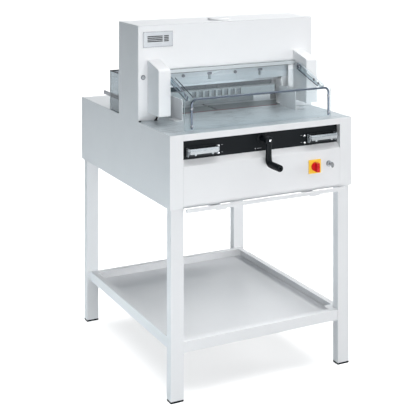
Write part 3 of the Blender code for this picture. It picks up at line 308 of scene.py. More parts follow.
def powder_coat(name, colour, gloss=0.42, peel=0.00003, glint=0.5):
    """Sprayed and baked paint: faint orange peel, slow mottling, and an uneven sheen."""

    def build(tree):
        mottle = grain(tree, 5.0, 3.0)
        speck = grain(tree, 900.0, 2.0)
        tone = blend_colour(tree, ranged(tree, mottle, 0.0, 1.0), scaled(colour, 0.975), colour)
        tone = blend_colour(tree, ranged(tree, speck, 0.0, 0.06), tone, scaled(colour, 0.8))
        ripple = bump(tree, grain(tree, 260.0, 2.0), peel)
        sheen = ranged(tree, grain(tree, 22.0, 4.0), gloss - 0.05, gloss + 0.06)
        inputs = {
            "Base Color": tone,
            "Roughness": sheen,
            "Normal": ripple,
            "Specular IOR Level": glint,
        }
        return add(tree, "BsdfPrincipled", inputs).outputs["BSDF"]

    return surface(name, build)


def stepped_paint_and_shade(name, colour, recess_colour, high_colour, level, depth, metallic=0.0):
    """A coat that changes colour behind a depth, and again above a level: two-tone paint on the
    bracket, painted shade and light on the clamp and rear table.
    """

    def build(tree):
        place = add(tree, "TexCoord").outputs["Object"]
        parts = add(tree, "SeparateXYZ", {"Vector": place}).outputs
        behind = add(tree, "Math", {0: parts["Y"], 1: depth}, operation="GREATER_THAN").outputs["Value"]
        above = add(tree, "Math", {0: parts["Z"], 1: level}, operation="GREATER_THAN").outputs["Value"]
        tone = blend_colour(tree, behind, colour, recess_colour)
        tone = blend_colour(tree, above, tone, high_colour)
        speck = grain(tree, 900.0, 2.0)
        tone = blend_colour(tree, ranged(tree, speck, 0.0, 0.06), tone, scaled(colour, 0.8))
        inputs = {
            "Base Color": tone,
            "Roughness": ranged(tree, grain(tree, 22.0, 4.0), 0.36, 0.48),
            "Normal": bump(tree, grain(tree, 260.0, 2.0), 0.00003),
            "Metallic": metallic,
            "Specular IOR Level": 0.25,
        }
        return add(tree, "BsdfPrincipled", inputs).outputs["BSDF"]

    return surface(name, build)


def brushed_metal(name, colour, shine, stretch, depth=0.000012, handled=0.10, metallic=1.0):
    """Ground or brushed steel: long fine lines, and soft marks where hands have rested."""

    def build(tree):
        lines = grain(tree, 1.0, 7.0, stretch, 0.65)
        marks = grain(tree, 9.0, 5.0)
        tone = blend_colour(tree, ranged(tree, lines, 0.0, 1.0), scaled(colour, 0.90), colour)
        tone = blend_colour(tree, ranged(tree, marks, 0.0, handled), tone, scaled(colour, 0.75))
        spread = ranged(tree, lines, shine - 0.06, shine + 0.07)
        spread = add(
            tree,
            "Math",
            {0: spread, 1: ranged(tree, marks, -handled * 0.5, handled * 0.5)},
            operation="ADD",
        ).outputs["Value"]
        inputs = {
            "Base Color": tone,
            "Metallic": metallic,
            "Roughness": spread,
            "Normal": bump(tree, lines, depth),
            "Anisotropic": 0.35,
        }
        return add(tree, "BsdfPrincipled", inputs).outputs["BSDF"]

    return surface(name, build)


def polished_metal(name, colour, shine):
    """Chrome or bright zinc, with a slightly uneven polish."""

    def build(tree):
        haze = grain(tree, 60.0, 5.0)
        tone = blend_colour(tree, ranged(tree, haze, 0.0, 1.0), scaled(colour, 0.93), colour)
        inputs = {
            "Base Color": tone,
            "Metallic": 1.0,
            "Roughness": ranged(tree, haze, shine * 0.7, shine * 1.3),
            "Normal": bump(tree, grain(tree, 700.0, 3.0), 0.000006),
        }
        return add(tree, "BsdfPrincipled", inputs).outputs["BSDF"]

    return surface(name, build)


def moulded_plastic(name, colour, shine, texture=0.00004, scale=1100.0, glint=0.3):
    """Injection-moulded plastic with a spark-eroded texture."""

    def build(tree):
        pits = grain(tree, scale, 3.0)
        wear = grain(tree, 30.0, 4.0)
        pale = tuple(channel + 0.008 for channel in colour)
        tone = blend_colour(tree, ranged(tree, wear, 0.0, 0.5), colour, pale)
        inputs = {
            "Base Color": tone,
            "Roughness": ranged(tree, wear, shine - 0.06, shine + 0.08),
            "Normal": bump(tree, pits, texture),
            "Specular IOR Level": glint,
        }
        return add(tree, "BsdfPrincipled", inputs).outputs["BSDF"]

    return surface(name, build)


def cast_metal(name, colour):
    """Sand-cast iron: coarse skin with darker pits."""

    def build(tree):
        skin = grain(tree, 240.0, 6.0)
        tone = blend_colour(tree, ranged(tree, skin, 0.0, 1.0), scaled(colour, 0.6), colour)
        inputs = {
            "Base Color": tone,
            "Metallic": 0.6,
            "Roughness": ranged(tree, skin, 0.5, 0.75),
            "Normal": bump(tree, skin, 0.0004),
        }
        return add(tree, "BsdfPrincipled", inputs).outputs["BSDF"]

    return surface(name, build)


def clear_sheet(name, tint, axis, edge_colour=EDGE_FROST, edge_test="GREATER_THAN"):
    """Acrylic sheet. Light passes straight through, and the faces mirror more at a glance.

    The sawn edges are frosted. On the guard's arms their colour is also painted shade on the
    left arm and painted light on the right one. They are the faces that look along the axis, or,
    with the other test, the faces that don't.
    """

    def build(tree):
        haze = grain(tree, 14.0, 4.0)
        tone = blend_colour(tree, ranged(tree, haze, 0.0, 0.5), tint, scaled(tint, 0.97))
        through = add(tree, "BsdfTransparent", {"Color": tone}).outputs["BSDF"]
        spread = ranged(tree, haze, SHEET_SHEEN, SHEET_SHEEN * 2)
        mirror = add(tree, "BsdfAnisotropic", {"Roughness": spread}).outputs["BSDF"]
        grazing = add(tree, "LayerWeight", {"Blend": 0.5}).outputs["Facing"]
        steep = add(tree, "Math", {0: grazing, 1: GLANCE_POWER}, operation="POWER").outputs["Value"]
        spread_inputs = {"Value": steep, "To Min": SHEET_MIRROR, "To Max": SHEET_GLANCE}
        share = add(tree, "MapRange", spread_inputs).outputs["Result"]
        pane = add(tree, "MixShader", {0: share, 1: through, 2: mirror}).outputs["Shader"]
        sawn = bump(tree, grain(tree, 600.0), 0.00004)
        frost_inputs = {"Base Color": (*edge_colour, 1), "Roughness": 0.4, "Normal": sawn}
        frost = add(tree, "BsdfPrincipled", frost_inputs).outputs["BSDF"]
        world_normal = add(tree, "NewGeometry").outputs["True Normal"]
        turned = add(
            tree,
            "VectorTransform",
            {"Vector": world_normal},
            vector_type="NORMAL",
            convert_from="WORLD",
            convert_to="OBJECT",
        ).outputs["Vector"]
        along = add(tree, "SeparateXYZ", {"Vector": turned}).outputs[axis]
        size = add(tree, "Math", {0: along}, operation="ABSOLUTE").outputs["Value"]
        is_edge = add(tree, "Math", {0: size, 1: 0.9}, operation=edge_test).outputs["Value"]
        return add(tree, "MixShader", {0: is_edge, 1: pane, 2: frost}).outputs["Shader"]

    return surface(name, build)


def make_finishes():
    """Every finish, by the record's material slot where there is one."""
    # Behind this depth the clamp's notches get painted shade.
    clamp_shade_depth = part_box("clamp_beam")[0].y + 0.0010
    bracket_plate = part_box("control_bracket_left")[1].y - BRACKET_PLATE - 0.0005
    tower_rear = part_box("tower_hood")[1].y
    return {
        "white_paint": powder_coat("white_powder_coat", PAINT_WHITE),
        "grey_paint": powder_coat("grey_powder_coat", PAINT_GREY, 0.40),
        "black_paint": powder_coat("black_powder_coat", PAINT_BLACK, 0.45, glint=0.09),
        "black_plastic": moulded_plastic("black_moulding", MOULDED_BLACK, 0.42, glint=0.09),
        "table_steel": brushed_metal(
            "ground_table_steel", TABLE_STEEL, 0.30, TABLE_LINES, 0.000006, 0.05, 0.55
        ),
        "bright_steel": polished_metal("polished_steel", BRIGHT_STEEL, 0.12),
        "satin_steel": brushed_metal("satin_steel", SATIN_STEEL, 0.26, BAR_LINES),
        "bracket_zinc": stepped_paint_and_shade(
            "bracket_zinc", ZINC, PAINT_BLACK, PAINT_BLACK, TOP_LEVEL, bracket_plate, 0.3
        ),
        # The rear table, with painted shade under the tower and painted light behind it.
        "rear_table_lit_and_shaded": stepped_paint_and_shade(
            "rear_table_lit_and_shaded", THROAT_SHADE_STEEL, REAR_LIT_PALE, REAR_LIT_PALE, TOP_LEVEL, tower_rear, 0.3
        ),
        "rail_paint": powder_coat("rail_powder_coat", RAIL_GREY, 0.50, glint=0.2),
        "wire_steel": polished_metal("guard_wire_steel", WIRE_STEEL, 0.20),
        # Clamp paint with painted shade inside its notches and above its foot.
        "clamp_paint_and_shade": stepped_paint_and_shade(
            "clamp_paint_and_shade", CLAMP_GREY, CLAMP_RECESS_SHADE, CLAMP_SHADE, CLAMP_FOOT_TOP, clamp_shade_depth
        ),
        "dark_steel": brushed_metal("blackened_steel", DARK_STEEL, 0.36, SHAFT_LINES),
        "cast_iron": cast_metal("cast_iron_skin", CAST_IRON),
        "red_plastic": moulded_plastic("red_moulding", SIGNAL_RED, 0.30, 0.00001),
        "stick_plastic": moulded_plastic("stick_moulding", STICK_RED, 0.45, 0.00001),
        "yellow_plastic": moulded_plastic("yellow_moulding", SIGNAL_YELLOW, 0.36, 0.00001),
        "clear_sheet": clear_sheet("clear_acrylic", CLEAR_TINT, "X"),
        # The guard's arms, one acrylic, with painted shade on the left arm and painted light on the
        # right.
        "arm_sheet": clear_sheet("arm_acrylic", SHADED_ARM_TINT, "X", SHADED_ARM_EDGE, "LESS_THAN"),
        "lit_arm_sheet": clear_sheet("lit_arm_acrylic", CLEAR_TINT, "X", LIT_ARM_EDGE, "LESS_THAN"),
        "smoked_sheet": clear_sheet("smoked_acrylic", SMOKED_TINT, "Y"),
        "plate": brushed_metal("plate_aluminium", PLATE_METAL, 0.34, PLATE_LINES),
        "ink_dark": moulded_plastic("dark_ink", INK_DARK, 0.40, 0.00001),
        "ink_pale": moulded_plastic("pale_ink", INK_PALE, 0.45, 0.00001),
        "rubber": moulded_plastic("black_rubber", RUBBER, 0.62, 0.00008, 500.0),
        "lens": moulded_plastic("button_lens", LENS_WHITE, 0.22, 0.000005),
    }


# ---------------------------------------------------------------- CAD nodes


def smoothing_group():
    """Geometry nodes that shade smooth, apart from edges sharper than a limit."""
    group = bpy.data.node_groups.new("smooth_by_angle", "GeometryNodeTree")
    group.interface.new_socket("Geometry", in_out="INPUT", socket_type="NodeSocketGeometry")
    group.interface.new_socket("Geometry", in_out="OUTPUT", socket_type="NodeSocketGeometry")
    nodes = group.nodes
    given = nodes.new("NodeGroupInput")
    result = nodes.new("NodeGroupOutput")
    faces = nodes.new("GeometryNodeSetShadeSmooth")
    edges = nodes.new("GeometryNodeSetShadeSmooth")
    edges.domain = "EDGE"
    angle = nodes.new("GeometryNodeInputMeshEdgeAngle")
    compare = nodes.new("FunctionNodeCompare")
    compare.operation = "LESS_THAN"
    compare.inputs["B"].default_value = SHARP_ANGLE
    link = group.links.new
    link(given.outputs[0], faces.inputs["Geometry"])
    link(faces.outputs["Geometry"], edges.inputs["Geometry"])
    link(angle.outputs["Unsigned Angle"], compare.inputs["A"])
    link(compare.outputs["Result"], edges.inputs["Shade Smooth"])
    link(edges.outputs["Geometry"], result.inputs[0])
    return group


def soften(node, width, group):
    """Rounds a CAD node's sharp edges with modifiers. Its own mesh stays as it is.

    Flat faces are merged first and split again evenly, so the bevel has clean edges to follow.
    """
    weld = node.modifiers.new("weld", "WELD")
    weld.merge_threshold = WELD_DISTANCE
    merge = node.modifiers.new("merge_flat_faces", "DECIMATE")
    merge.decimate_type = "DISSOLVE"
    merge.angle_limit = FLAT_ANGLE
    split = node.modifiers.new("split_faces", "TRIANGULATE")
    split.min_vertices = 5
    split.ngon_method = "BEAUTY"
    if width > 0:
        bevel = node.modifiers.new("bevel", "BEVEL")
        bevel.width = width
        bevel.segments = EDGE_STEPS
        bevel.limit_method = "ANGLE"
        bevel.angle_limit = EDGE_ANGLE
        bevel.miter_outer = "MITER_ARC"
    smooth = node.modifiers.new("smooth", "NODES")
    smooth.node_group = group
    weigh = node.modifiers.new("weigh_normals", "WEIGHTED_NORMAL")
    weigh.keep_sharp = True


def dress_nodes(nodes, finishes):
    """Gives every CAD node its finish and softened edges."""
    group = smoothing_group()
    for name, node in nodes.items():
        slot = node.material_slots[0].material.name.split(".")[0]
        finish, width = NODE_LOOKS.get(name, (slot, None))
        if width is None:
            width = SLOT_EDGES.get(slot, FINE_EDGE)
        node.material_slots[0].material = finishes[finish]
        soften(node, width, group)


# ---------------------------------------------------------------- mesh helpers


def arc(radius, start, end, steps):
    """Points on a circle round the origin, from one angle to another in degrees."""
    points = []
    for step in range(steps + 1):
        angle = math.radians(start + (end - start) * step / steps)
        points.append((radius * math.cos(angle), radius * math.sin(angle)))
    return points


class Shape:
    """One mesh made of closed forms, placed straight in the machine's frame."""

    def __init__(self):
        self.bm = bmesh.new()

    def skin(self, rings):
        """Joins rings of points into a closed skin with flat ends."""
        made = [[self.bm.verts.new(point) for point in ring] for ring in rings]
        for lower, upper in zip(made, made[1:]):
            count = len(lower)
            for i in range(count):
                j = (i + 1) % count
                self.bm.faces.new((lower[i], lower[j], upper[j], upper[i]))
        self.bm.faces.new(made[0])
        self.bm.faces.new(made[-1])
        return self

    def lathe(self, profile, at, direction, sides=24):
        """Turns (radius, distance) pairs about a line through a point."""
        turn = Vector(direction).to_track_quat("Z", "Y")
        rings = []
        for radius, along in profile:
            circle = arc(radius, 0, 360, sides)[:-1]
            rings.append([at + turn @ Vector((a, b, along)) for a, b in circle])
        return self.skin(rings)

    def block(self, low, high):
        """A box from its lowest corner to its highest."""
        corners = [(low[0], low[1]), (high[0], low[1]), (high[0], high[1]), (low[0], high[1])]
        return self.skin([[Vector((x, y, z)) for x, y in corners] for z in (low[2], high[2])])

    def pad(self, face, across, upward, thickness):
        """A thin block on a front face, from its limits across and upward."""
        low = (across[0], face - thickness, upward[0])
        return self.block(low, (across[1], face, upward[1]))

    def sweep(self, points, radius, sides=12):
        """A round bar along a list of points."""
        rings = []
        side = None
        for i, point in enumerate(points):
            along = (points[min(i + 1, len(points) - 1)] - points[max(i - 1, 0)]).normalized()
            if side is None:
                side = along.orthogonal().normalized()
            side = (side - along * side.dot(along)).normalized()
            other = along.cross(side)
            circle = arc(radius, 0, 360, sides)[:-1]
            rings.append([point + side * a + other * b for a, b in circle])
        return self.skin(rings)

    def piece(self, name, finish, body, bevel=0.0, slot=None):
        """Finishes the mesh as a named piece that rides on a CAD body."""
        bmesh.ops.recalc_face_normals(self.bm, faces=self.bm.faces)
        mesh = bpy.data.meshes.new(name)
        self.bm.to_mesh(mesh)
        self.bm.free()
        mesh.shade_smooth()
        mesh.set_sharp_from_angle(angle=SHARP_ANGLE)
        mesh.materials.append(finish)
        made = bpy.data.objects.new(name, mesh)
        bpy.context.scene.collection.objects.link(made)
        if bevel > 0:
            rounding = made.modifiers.new("bevel", "BEVEL")
            rounding.width = bevel
            rounding.segments = EDGE_STEPS
            rounding.limit_method = "ANGLE"
            rounding.angle_limit = EDGE_ANGLE
            rounding.harden_normals = True
        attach(made, body)
        return made


def mid(low, high):
    """Halfway between two numbers."""
    return (low + high) / 2


def pan_head(shape, at, direction, radius, height):
    """A domed screw head with a hexagon socket, on a flat face."""
    profile = [
        (radius, 0.0),
        (radius, height * 0.45),
        (radius * 0.86, height * 0.85),
        (radius * 0.62, height),
        (radius * 0.48, height),
        (radius * 0.42, height * 0.45),
    ]
    return shape.lathe(profile, at, direction, 18)


def flush_screw(shape, at, direction, radius):
    """A countersunk screw head, just proud, with a dished drive."""
    profile = [
        (radius, 0.0),
        (radius, 0.0003),
        (radius * 0.9, 0.0006),
        (radius * 0.5, 0.0006),
        (radius * 0.35, 0.0001),
    ]
    return shape.lathe(profile, at, direction, 16)


# ---------------------------------------------------------------- crank


def crank_sections(axis_x, arm_y, top_z, grip_z):
    """The arm's cross-sections, each a place, a heading and two half sizes.

    They run down from the hub and then round the bend towards the operator.
    """
    sections = []
    for i in range(ARM_STEPS):
        share = i / (ARM_STEPS - 1)
        z = top_z + (grip_z + CRANK_BEND - top_z) * share
        half_width = ARM_HALF_WIDTH - ARM_WAIST * math.sin(math.pi * share)
        sections.append((Vector((axis_x, arm_y, z)), DOWN, half_width, ARM_HALF_DEPTH))
    for i in range(1, BEND_STEPS + 1):
        share = i / BEND_STEPS
        angle = math.radians(90) * share
        y = arm_y - CRANK_BEND * (1 - math.cos(angle))
        z = grip_z + CRANK_BEND * (1 - math.sin(angle))
        heading = Vector((0, -math.sin(angle), -math.cos(angle)))
        blend = share * share * (3 - 2 * share)
        half_width = ARM_HALF_WIDTH + COLLAR_WIDER * blend
        half_depth = ARM_HALF_DEPTH + COLLAR_DEEPER * blend
        sections.append((Vector((axis_x, y, z)), heading, half_width, half_depth))
    return sections


def rounded_ring(place, heading, half_width, half_depth):
    """A cross-section of the arm: a soft rectangle that turns round as it gets deeper."""
    out = heading.cross(RIGHT).normalized()
    roundness = min(1, (half_depth - ARM_HALF_DEPTH) / COLLAR_DEEPER)
    power = ARM_SQUARENESS + (1 - ARM_SQUARENESS) * roundness
    ring = []
    for a, b in arc(1, 0, 360, ARM_SIDES)[:-1]:
        x = math.copysign(abs(a) ** power, a) * half_width
        y = math.copysign(abs(b) ** power, b) * half_depth
        ring.append(place + RIGHT * x + out * y)
    return ring


def make_crank_arm(finishes, hub, grip_z, fascia_face):
    """One smooth moulding that bends into the grip's collar. Returns the collar's end."""
    sections = crank_sections(hub.x, hub.y, hub.z + ARM_TOP, grip_z)
    arm = Shape().skin([rounded_ring(*section) for section in sections])
    reach = fascia_face - hub.y
    profile = [
        (0.0112, -reach - 0.001),
        (0.0112, -0.010),
        (0.0150, -0.0085),
        (0.0152, 0.0070),
        (0.0146, 0.0084),
        (0.0132, HUB_FACE),
    ]
    arm.lathe(profile, hub, FRONT, 36)
    finish = finishes["black_plastic"]
    made = arm.piece("crank_arm_moulding", finish, "backgauge_crank", slot="black_plastic")
    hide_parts("crank_arm")
    return sections[-1][0].y


def make_crank_hub(finishes, hub, fascia_face):
    """The screw in the hub's face, and the bush round the shaft."""
    screw = Shape()
    pan_head(screw, hub + Vector((0.001, -HUB_FACE, 0.001)), FRONT, 0.0042, 0.0020)
    screw.piece("crank_hub_screw", finishes["bright_steel"], "backgauge_crank", slot="bright_steel")
    profile = [(0.0205, -0.0002), (0.0205, 0.0024), (0.0195, 0.0032), (0.0125, 0.0036)]
    bush = Shape().lathe(profile, Vector((hub.x, fascia_face, hub.z)), FRONT, 36)
    bush.piece("crank_shaft_bush", finishes["black_plastic"], "machine", slot="black_plastic")


def make_crank_grip(finishes, start, tip_y):
    """A barely swelling grip with rounded ends and a socket in its nose."""
    length = start.y - tip_y
    profile = [(0.0105, 0.0), (0.0120, 0.0008), (0.0123, 0.003)]
    for i in range(1, GRIP_STEPS):
        share = i / GRIP_STEPS
        radius = 0.0121 + 0.0004 * math.sin(math.pi * share)
        profile.append((radius, 0.003 + (length - 0.006) * share))
    profile += [
        (0.0123, length - 0.003),
        (0.0116, length - 0.0010),
        (0.0104, length),
        (0.0048, length),
        (0.0042, length - 0.0008),
        (0.0040, length - 0.016),
    ]
    grip = Shape().lathe(profile, start, FRONT, 36)
    finish = finishes["black_plastic"]
    made = grip.piece("crank_grip_moulding", finish, "crank_grip", slot="black_plastic")
    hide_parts("crank_grip")


def make_crank(finishes):
    """The crank's arm, hub and grip, in place of their plainer CAD pieces."""
    shaft_low, shaft_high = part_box("lead_screw")
    grip_low, grip_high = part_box("crank_grip")
    fascia_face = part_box("control_fascia")[0].y
    axis_x = mid(shaft_low.x, shaft_high.x)
    axis_z = mid(shaft_low.z, shaft_high.z)
    grip_z = mid(grip_low.z, grip_high.z)
    hub = Vector((axis_x, grip_high.y + ARM_SETBACK, axis_z))
    collar_end = make_crank_arm(finishes, hub, grip_z, fascia_face)
    make_crank_hub(finishes, hub, fascia_face)
    make_crank_grip(finishes, Vector((axis_x, collar_end - COLLAR_GAP, grip_z)), grip_low.y)


# ---------------------------------------------------------------- operating band


def make_bar_hardware(finishes):
    """Screws, pin heads and bumpers of the two control bars."""
    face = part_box("control_fascia")[0].y
    pin_head = [(0.0062, 0.0), (0.0062, 0.0012), (0.0054, 0.0020), (0.0030, 0.0020), (0.0026, 0.0006)]
    bumper = [(0.0042, -0.004), (0.0042, 0.003), (0.0036, 0.0048), (0.0020, 0.0056)]
    screws = Shape()
    pins = Shape()
    for side, inward in BAR_SIDES:
        low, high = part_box(f"control_bracket_{side}")
        bar_low, bar_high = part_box(f"control_bar_{side}")
        inner_x = high.x if inward > 0 else low.x
        outer_x = low.x if inward > 0 else high.x
        middle_z = mid(low.z, high.z)
        for offset, lift in ((-0.0145, 0.0), (0.0115, 0.002)):
            z = middle_z + offset
            beside = Vector((inner_x + inward * 0.0095, face, z))
            behind = Vector((outer_x + inward * 0.017, face, z + lift))
            pan_head(screws, beside, FRONT, 0.0040, 0.0030)
            pan_head(screws, behind, FRONT, 0.0034, 0.0026)
        for x, direction in ((low.x, LEFT), (high.x, RIGHT)):
            pins.lathe(pin_head, Vector((x, bar_low.y + 0.014, middle_z + 0.009)), direction, 24)
        bumpers = Shape()
        for share in (0.22, 0.78):
            x = bar_low.x + (bar_high.x - bar_low.x) * share
            bumpers.lathe(bumper, Vector((x, bar_low.y + 0.0044, bar_low.z)), DOWN, 18)
        name = f"control_bar_bumpers_{side}"
        bumpers.piece(name, finishes["satin_steel"], f"control_bar_{side}", slot="bright_steel")
    screws.piece("control_band_screws", finishes["bright_steel"], "machine", slot="bright_steel")
    pins.piece("control_bar_pin_heads", finishes["satin_steel"], "machine", slot="bright_steel")


def make_band_marks(finishes):
    """Printed marks on the control band: a dot and a dash by the crank, dashes by the bars."""
    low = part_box("control_fascia")[0]
    shaft_low, shaft_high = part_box("lead_screw")
    crank_x = mid(shaft_low.x, shaft_high.x)
    mark_z = low.z + 0.012
    marks = Shape()
    dot = [(0.0022, 0.0), (0.0022, INK_THICKNESS)]
    marks.lathe(dot, Vector((crank_x - 0.027, low.y, mark_z)), FRONT, 16)
    across = (crank_x - 0.020, crank_x - 0.002)
    marks.pad(low.y, across, (mark_z - 0.0007, mark_z + 0.0007), INK_THICKNESS)
    for side, inward in BAR_SIDES:
        bracket_low, bracket_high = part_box(f"control_bracket_{side}")
        inner_x = bracket_high.x if inward > 0 else bracket_low.x
        centre_x = inner_x + inward * 0.0235
        middle_z = mid(bracket_low.z, bracket_high.z)
        for z in (middle_z - 0.013, middle_z + 0.013):
            across = (centre_x - 0.0034, centre_x + 0.0034)
            marks.pad(low.y, across, (z - 0.0006, z + 0.0006), INK_THICKNESS)
    marks.piece("control_band_marks", finishes["ink_pale"], "machine")


# ---------------------------------------------------------------- front guard


def make_wire_clips(finishes):
    """Sleeves that hold the wire's two legs."""
    panel_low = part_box("guard_panel")[0]
    wire_low, wire_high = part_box("guard_wire")
    wire_y = mid(wire_low.y, wire_high.y)
    radius = wire_y - wire_low.y
    sleeve = [
        (radius + 0.0002, -0.005),
        (radius + 0.0008, -0.0042),
        (radius + 0.0008, 0.0042),
        (radius + 0.0002, 0.005),
    ]
    clips = Shape()
    for x in (wire_low.x + radius, wire_high.x - radius):
        for height in (0.016, 0.078):
            clips.lathe(sleeve, Vector((x, wire_y, panel_low.z + height)), UP, 20)
    clips.piece("guard_wire_clips", finishes["dark_steel"], "front_guard", slot="dark_steel")


def make_guard_bolts(finishes):
    """Bolt heads on the inner faces of the guard's arms."""
    panel_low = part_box("guard_panel")[0]
    wire_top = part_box("guard_wire")[1].z
    bolts = Shape()
    for side, direction in (("left", RIGHT), ("right", LEFT)):
        arm_low, arm_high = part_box(f"guard_arm_{side}")
        inner_x = arm_high.x if side == "left" else arm_low.x
        start = Vector((inner_x, panel_low.y + 0.020, wire_top + 0.002))
        end = Vector((inner_x, arm_high.y - 0.016, arm_high.z - 0.016))
        for share in (0.10, 0.30):
            pan_head(bolts, start.lerp(end, share), direction, 0.0055, 0.0035)
        pivot = Vector((inner_x, arm_high.y - 0.0165, arm_high.z - 0.0135))
        pan_head(bolts, pivot, direction, 0.0085, 0.0045)
    bolts.piece("guard_arm_bolts", finishes["dark_steel"], "front_guard", slot="dark_steel")


def make_guard_stays(finishes):
    """Thin stays along the guard's sloped roof, just inside its arms."""
    panel_low, panel_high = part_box("guard_panel")
    wire_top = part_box("guard_wire")[1].z
    left_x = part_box("guard_arm_left")[1].x + STAY_INSET
    right_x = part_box("guard_arm_right")[0].x - STAY_INSET
    stays = Shape()
    for x in (left_x, right_x):
        start = Vector((x, panel_low.y + 0.012, wire_top + STAY_RADIUS))
        end = Vector((x, panel_high.y - 0.002, panel_high.z + STAY_RADIUS - 0.0004))
        stays.sweep([start, end], STAY_RADIUS, 10)
    stays.piece("guard_stays", finishes["wire_steel"], "front_guard")


# ---------------------------------------------------------------- tower


def make_button_ring(finishes):
    """A dark collar round the button on the tower."""
    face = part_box("tower_front_cover")[0].y
    low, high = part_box("cut_light_button")
    profile = [
        (0.0066, -0.0002),
        (0.0090, -0.0002),
        (0.0090, 0.0016),
        (0.0083, 0.0028),
        (0.0072, 0.0028),
        (0.0066, 0.0020),
    ]
    centre = Vector((mid(low.x, high.x), face, mid(low.z, high.z)))
    ring = Shape().lathe(profile, centre, FRONT, 36)
    ring.piece("cut_light_button_ring", finishes["dark_steel"], "machine", slot="dark_steel")


def make_sensor_cable(finishes):
    """The guard switch's short cable, from the left bearing block down to a gland in the table."""
    low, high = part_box("guard_bearing_left")
    table_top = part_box("front_table")[1].z
    top = Vector((low.x + 0.036, high.y - 0.016, low.z + 0.004))
    foot = Vector((low.x + 0.031, high.y - 0.006, table_top + 0.001))
    points = []
    for i in range(CABLE_STEPS + 1):
        share = i / CABLE_STEPS
        points.append(top.lerp(foot, share) + CABLE_SWAY * math.sin(math.pi * share))
    cable = Shape().sweep(points, 0.0034, 16)
    gland = [(0.0062, 0.0), (0.0062, 0.0016), (0.0046, 0.0036), (0.0038, 0.0060)]
    cable.lathe(gland, foot - UP * 0.001, UP, 20)
    cable.piece("guard_sensor_cable", finishes["rubber"], "machine")


def make_corner_plugs(finishes):
    """Rubber plugs under the bearing blocks, and one at the foot of the tower's left corner."""
    left_low, left_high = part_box("guard_bearing_left")
    right_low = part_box("guard_bearing_right")[0]
    plug = [(0.0044, 0.0), (0.0044, 0.0030), (0.0034, 0.0042)]
    plugs = Shape()
    plugs.lathe(plug, Vector((left_high.x - 0.010, left_low.y + 0.020, left_low.z)), DOWN, 16)
    plugs.lathe(plug, Vector((right_low.x + 0.010, right_low.y + 0.020, right_low.z)), DOWN, 16)
    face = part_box("tower_front_cover")[0].y
    table_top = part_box("front_table")[1].z
    corner = Vector((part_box("side_cover_left")[0].x + 0.0062, face - 0.0055, table_top))
    plugs.lathe([(0.0046, 0.0), (0.0046, 0.0022), (0.0034, 0.0036)], corner, UP, 18)
    plugs.piece("corner_plugs", finishes["rubber"], "machine")


def make_name_plate(finishes):
    """A plain plate: a raised border and a pictogram of a cut stack of sheets."""
    low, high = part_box("name_plate")
    face = low.y
    side = PLATE_BORDER / 2
    foot = low.z + PLATE_BORDER
    head = high.z - side
    border = Shape()
    border.pad(face, (low.x, high.x), (low.z, foot), PLATE_RELIEF)
    border.pad(face, (low.x, high.x), (head, high.z), PLATE_RELIEF)
    upright = (foot + CORNER_GAP, head - CORNER_GAP)
    border.pad(face, (low.x, low.x + side), upright, PLATE_RELIEF)
    border.pad(face, (high.x - side, high.x), upright, PLATE_RELIEF)
    border.piece("name_plate_frame", finishes["dark_steel"], "machine")

    middle = mid(low.x, high.x)
    half = (high.x - low.x) * 0.36
    base = low.z + (high.z - low.z) * 0.34
    sheets = Shape()
    for row in range(SHEET_ROWS):
        z = base + row * SHEET_PITCH
        upright = (z, z + SHEET_HEIGHT)
        sheets.pad(face, (middle - half, middle + half * 0.42), upright, PLATE_RELIEF)
        sheets.pad(face, (middle + half * 0.56, middle + half), upright, PLATE_RELIEF)
    sheets.piece("name_plate_pictogram", finishes["ink_dark"], "machine")


# ---------------------------------------------------------------- rear guard, clamp and covers


def make_rear_guard_hardware(finishes):
    """A dark rim along the rear guard's top edges, and the two rails inside its sides."""
    low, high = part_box("rear_guard")
    top = high.z + RIM_RISE
    rim = Shape()
    for start in (low.x, high.x - RIM_WIDTH):
        rim.block((start, low.y + 0.030, high.z - 0.001), (start + RIM_WIDTH, high.y, top))
    rim.block((low.x, high.y - 0.004, high.z - 0.002), (high.x, high.y + 0.0015, top))
    rim.piece("rear_guard_rim", finishes["rubber"], "machine")

    front = low.y + 0.022
    rear = low.y + GUARD_RAIL_REACH
    rails = Shape()
    for middle in (0.0055 - high.x, high.x - 0.0055):
        rails.block((middle - 0.003, front, GUARD_RAIL_LOW), (middle + 0.003, rear, GUARD_RAIL_TOP))
    rails.piece("rear_guard_rails", finishes["dark_steel"], "machine", 0.0006, "dark_steel")


def make_clamp_trim(finishes):
    """The clamp's foot carries a ground strip along its top front edge, and one upright rib."""
    low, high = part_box("clamp_beam")
    rib_x = low.x + CLAMP_RIB_PLACE
    strip = Shape()
    strip.pad(low.y, (low.x, high.x), (low.z + 0.0375, low.z + 0.0405), CLAMP_STRIP_RELIEF)
    rib = (rib_x - 0.0012, rib_x + 0.0012)
    strip.pad(low.y, rib, (low.z + 0.010, low.z + 0.0365), CLAMP_STRIP_RELIEF)
    strip.piece("clamp_ground_strip", finishes["satin_steel"], "clamp", 0.0003, "bright_steel")


def make_rail_seams(finishes):
    """Dark gaskets along the upper and lower edges of the rail over the throat."""
    low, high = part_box("cut_light_rail")
    across = (low.x + 0.001, high.x - 0.001)
    seams = Shape()
    seams.pad(low.y, across, (low.z, low.z + SEAM_HEIGHT), SEAM_DEPTH)
    seams.pad(low.y, across, (high.z - SEAM_HEIGHT, high.z), SEAM_DEPTH)
    seams.piece("rail_seams", finishes["rubber"], "machine")


def make_carrier_nuts(finishes):
    """Dark clamping nuts at the tops of the carrier's two slots."""
    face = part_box("blade_carrier")[0].y
    bolt_low, bolt_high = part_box("blade_bolt_1")
    top = mid(bolt_low.z, bolt_high.z) + NUT_HEIGHT * 0.75
    nuts = Shape()
    for bolt_x in (bolt_low.x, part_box("blade_bolt_2")[0].x):
        x = bolt_x + NUT_OFFSET
        nuts.pad(face, (x - NUT_WIDTH / 2, x + NUT_WIDTH / 2), (top - NUT_HEIGHT, top), NUT_THICKNESS)
    nuts.piece("carrier_slot_nuts", finishes["dark_steel"], "blade_unit", 0.0006, "dark_steel")


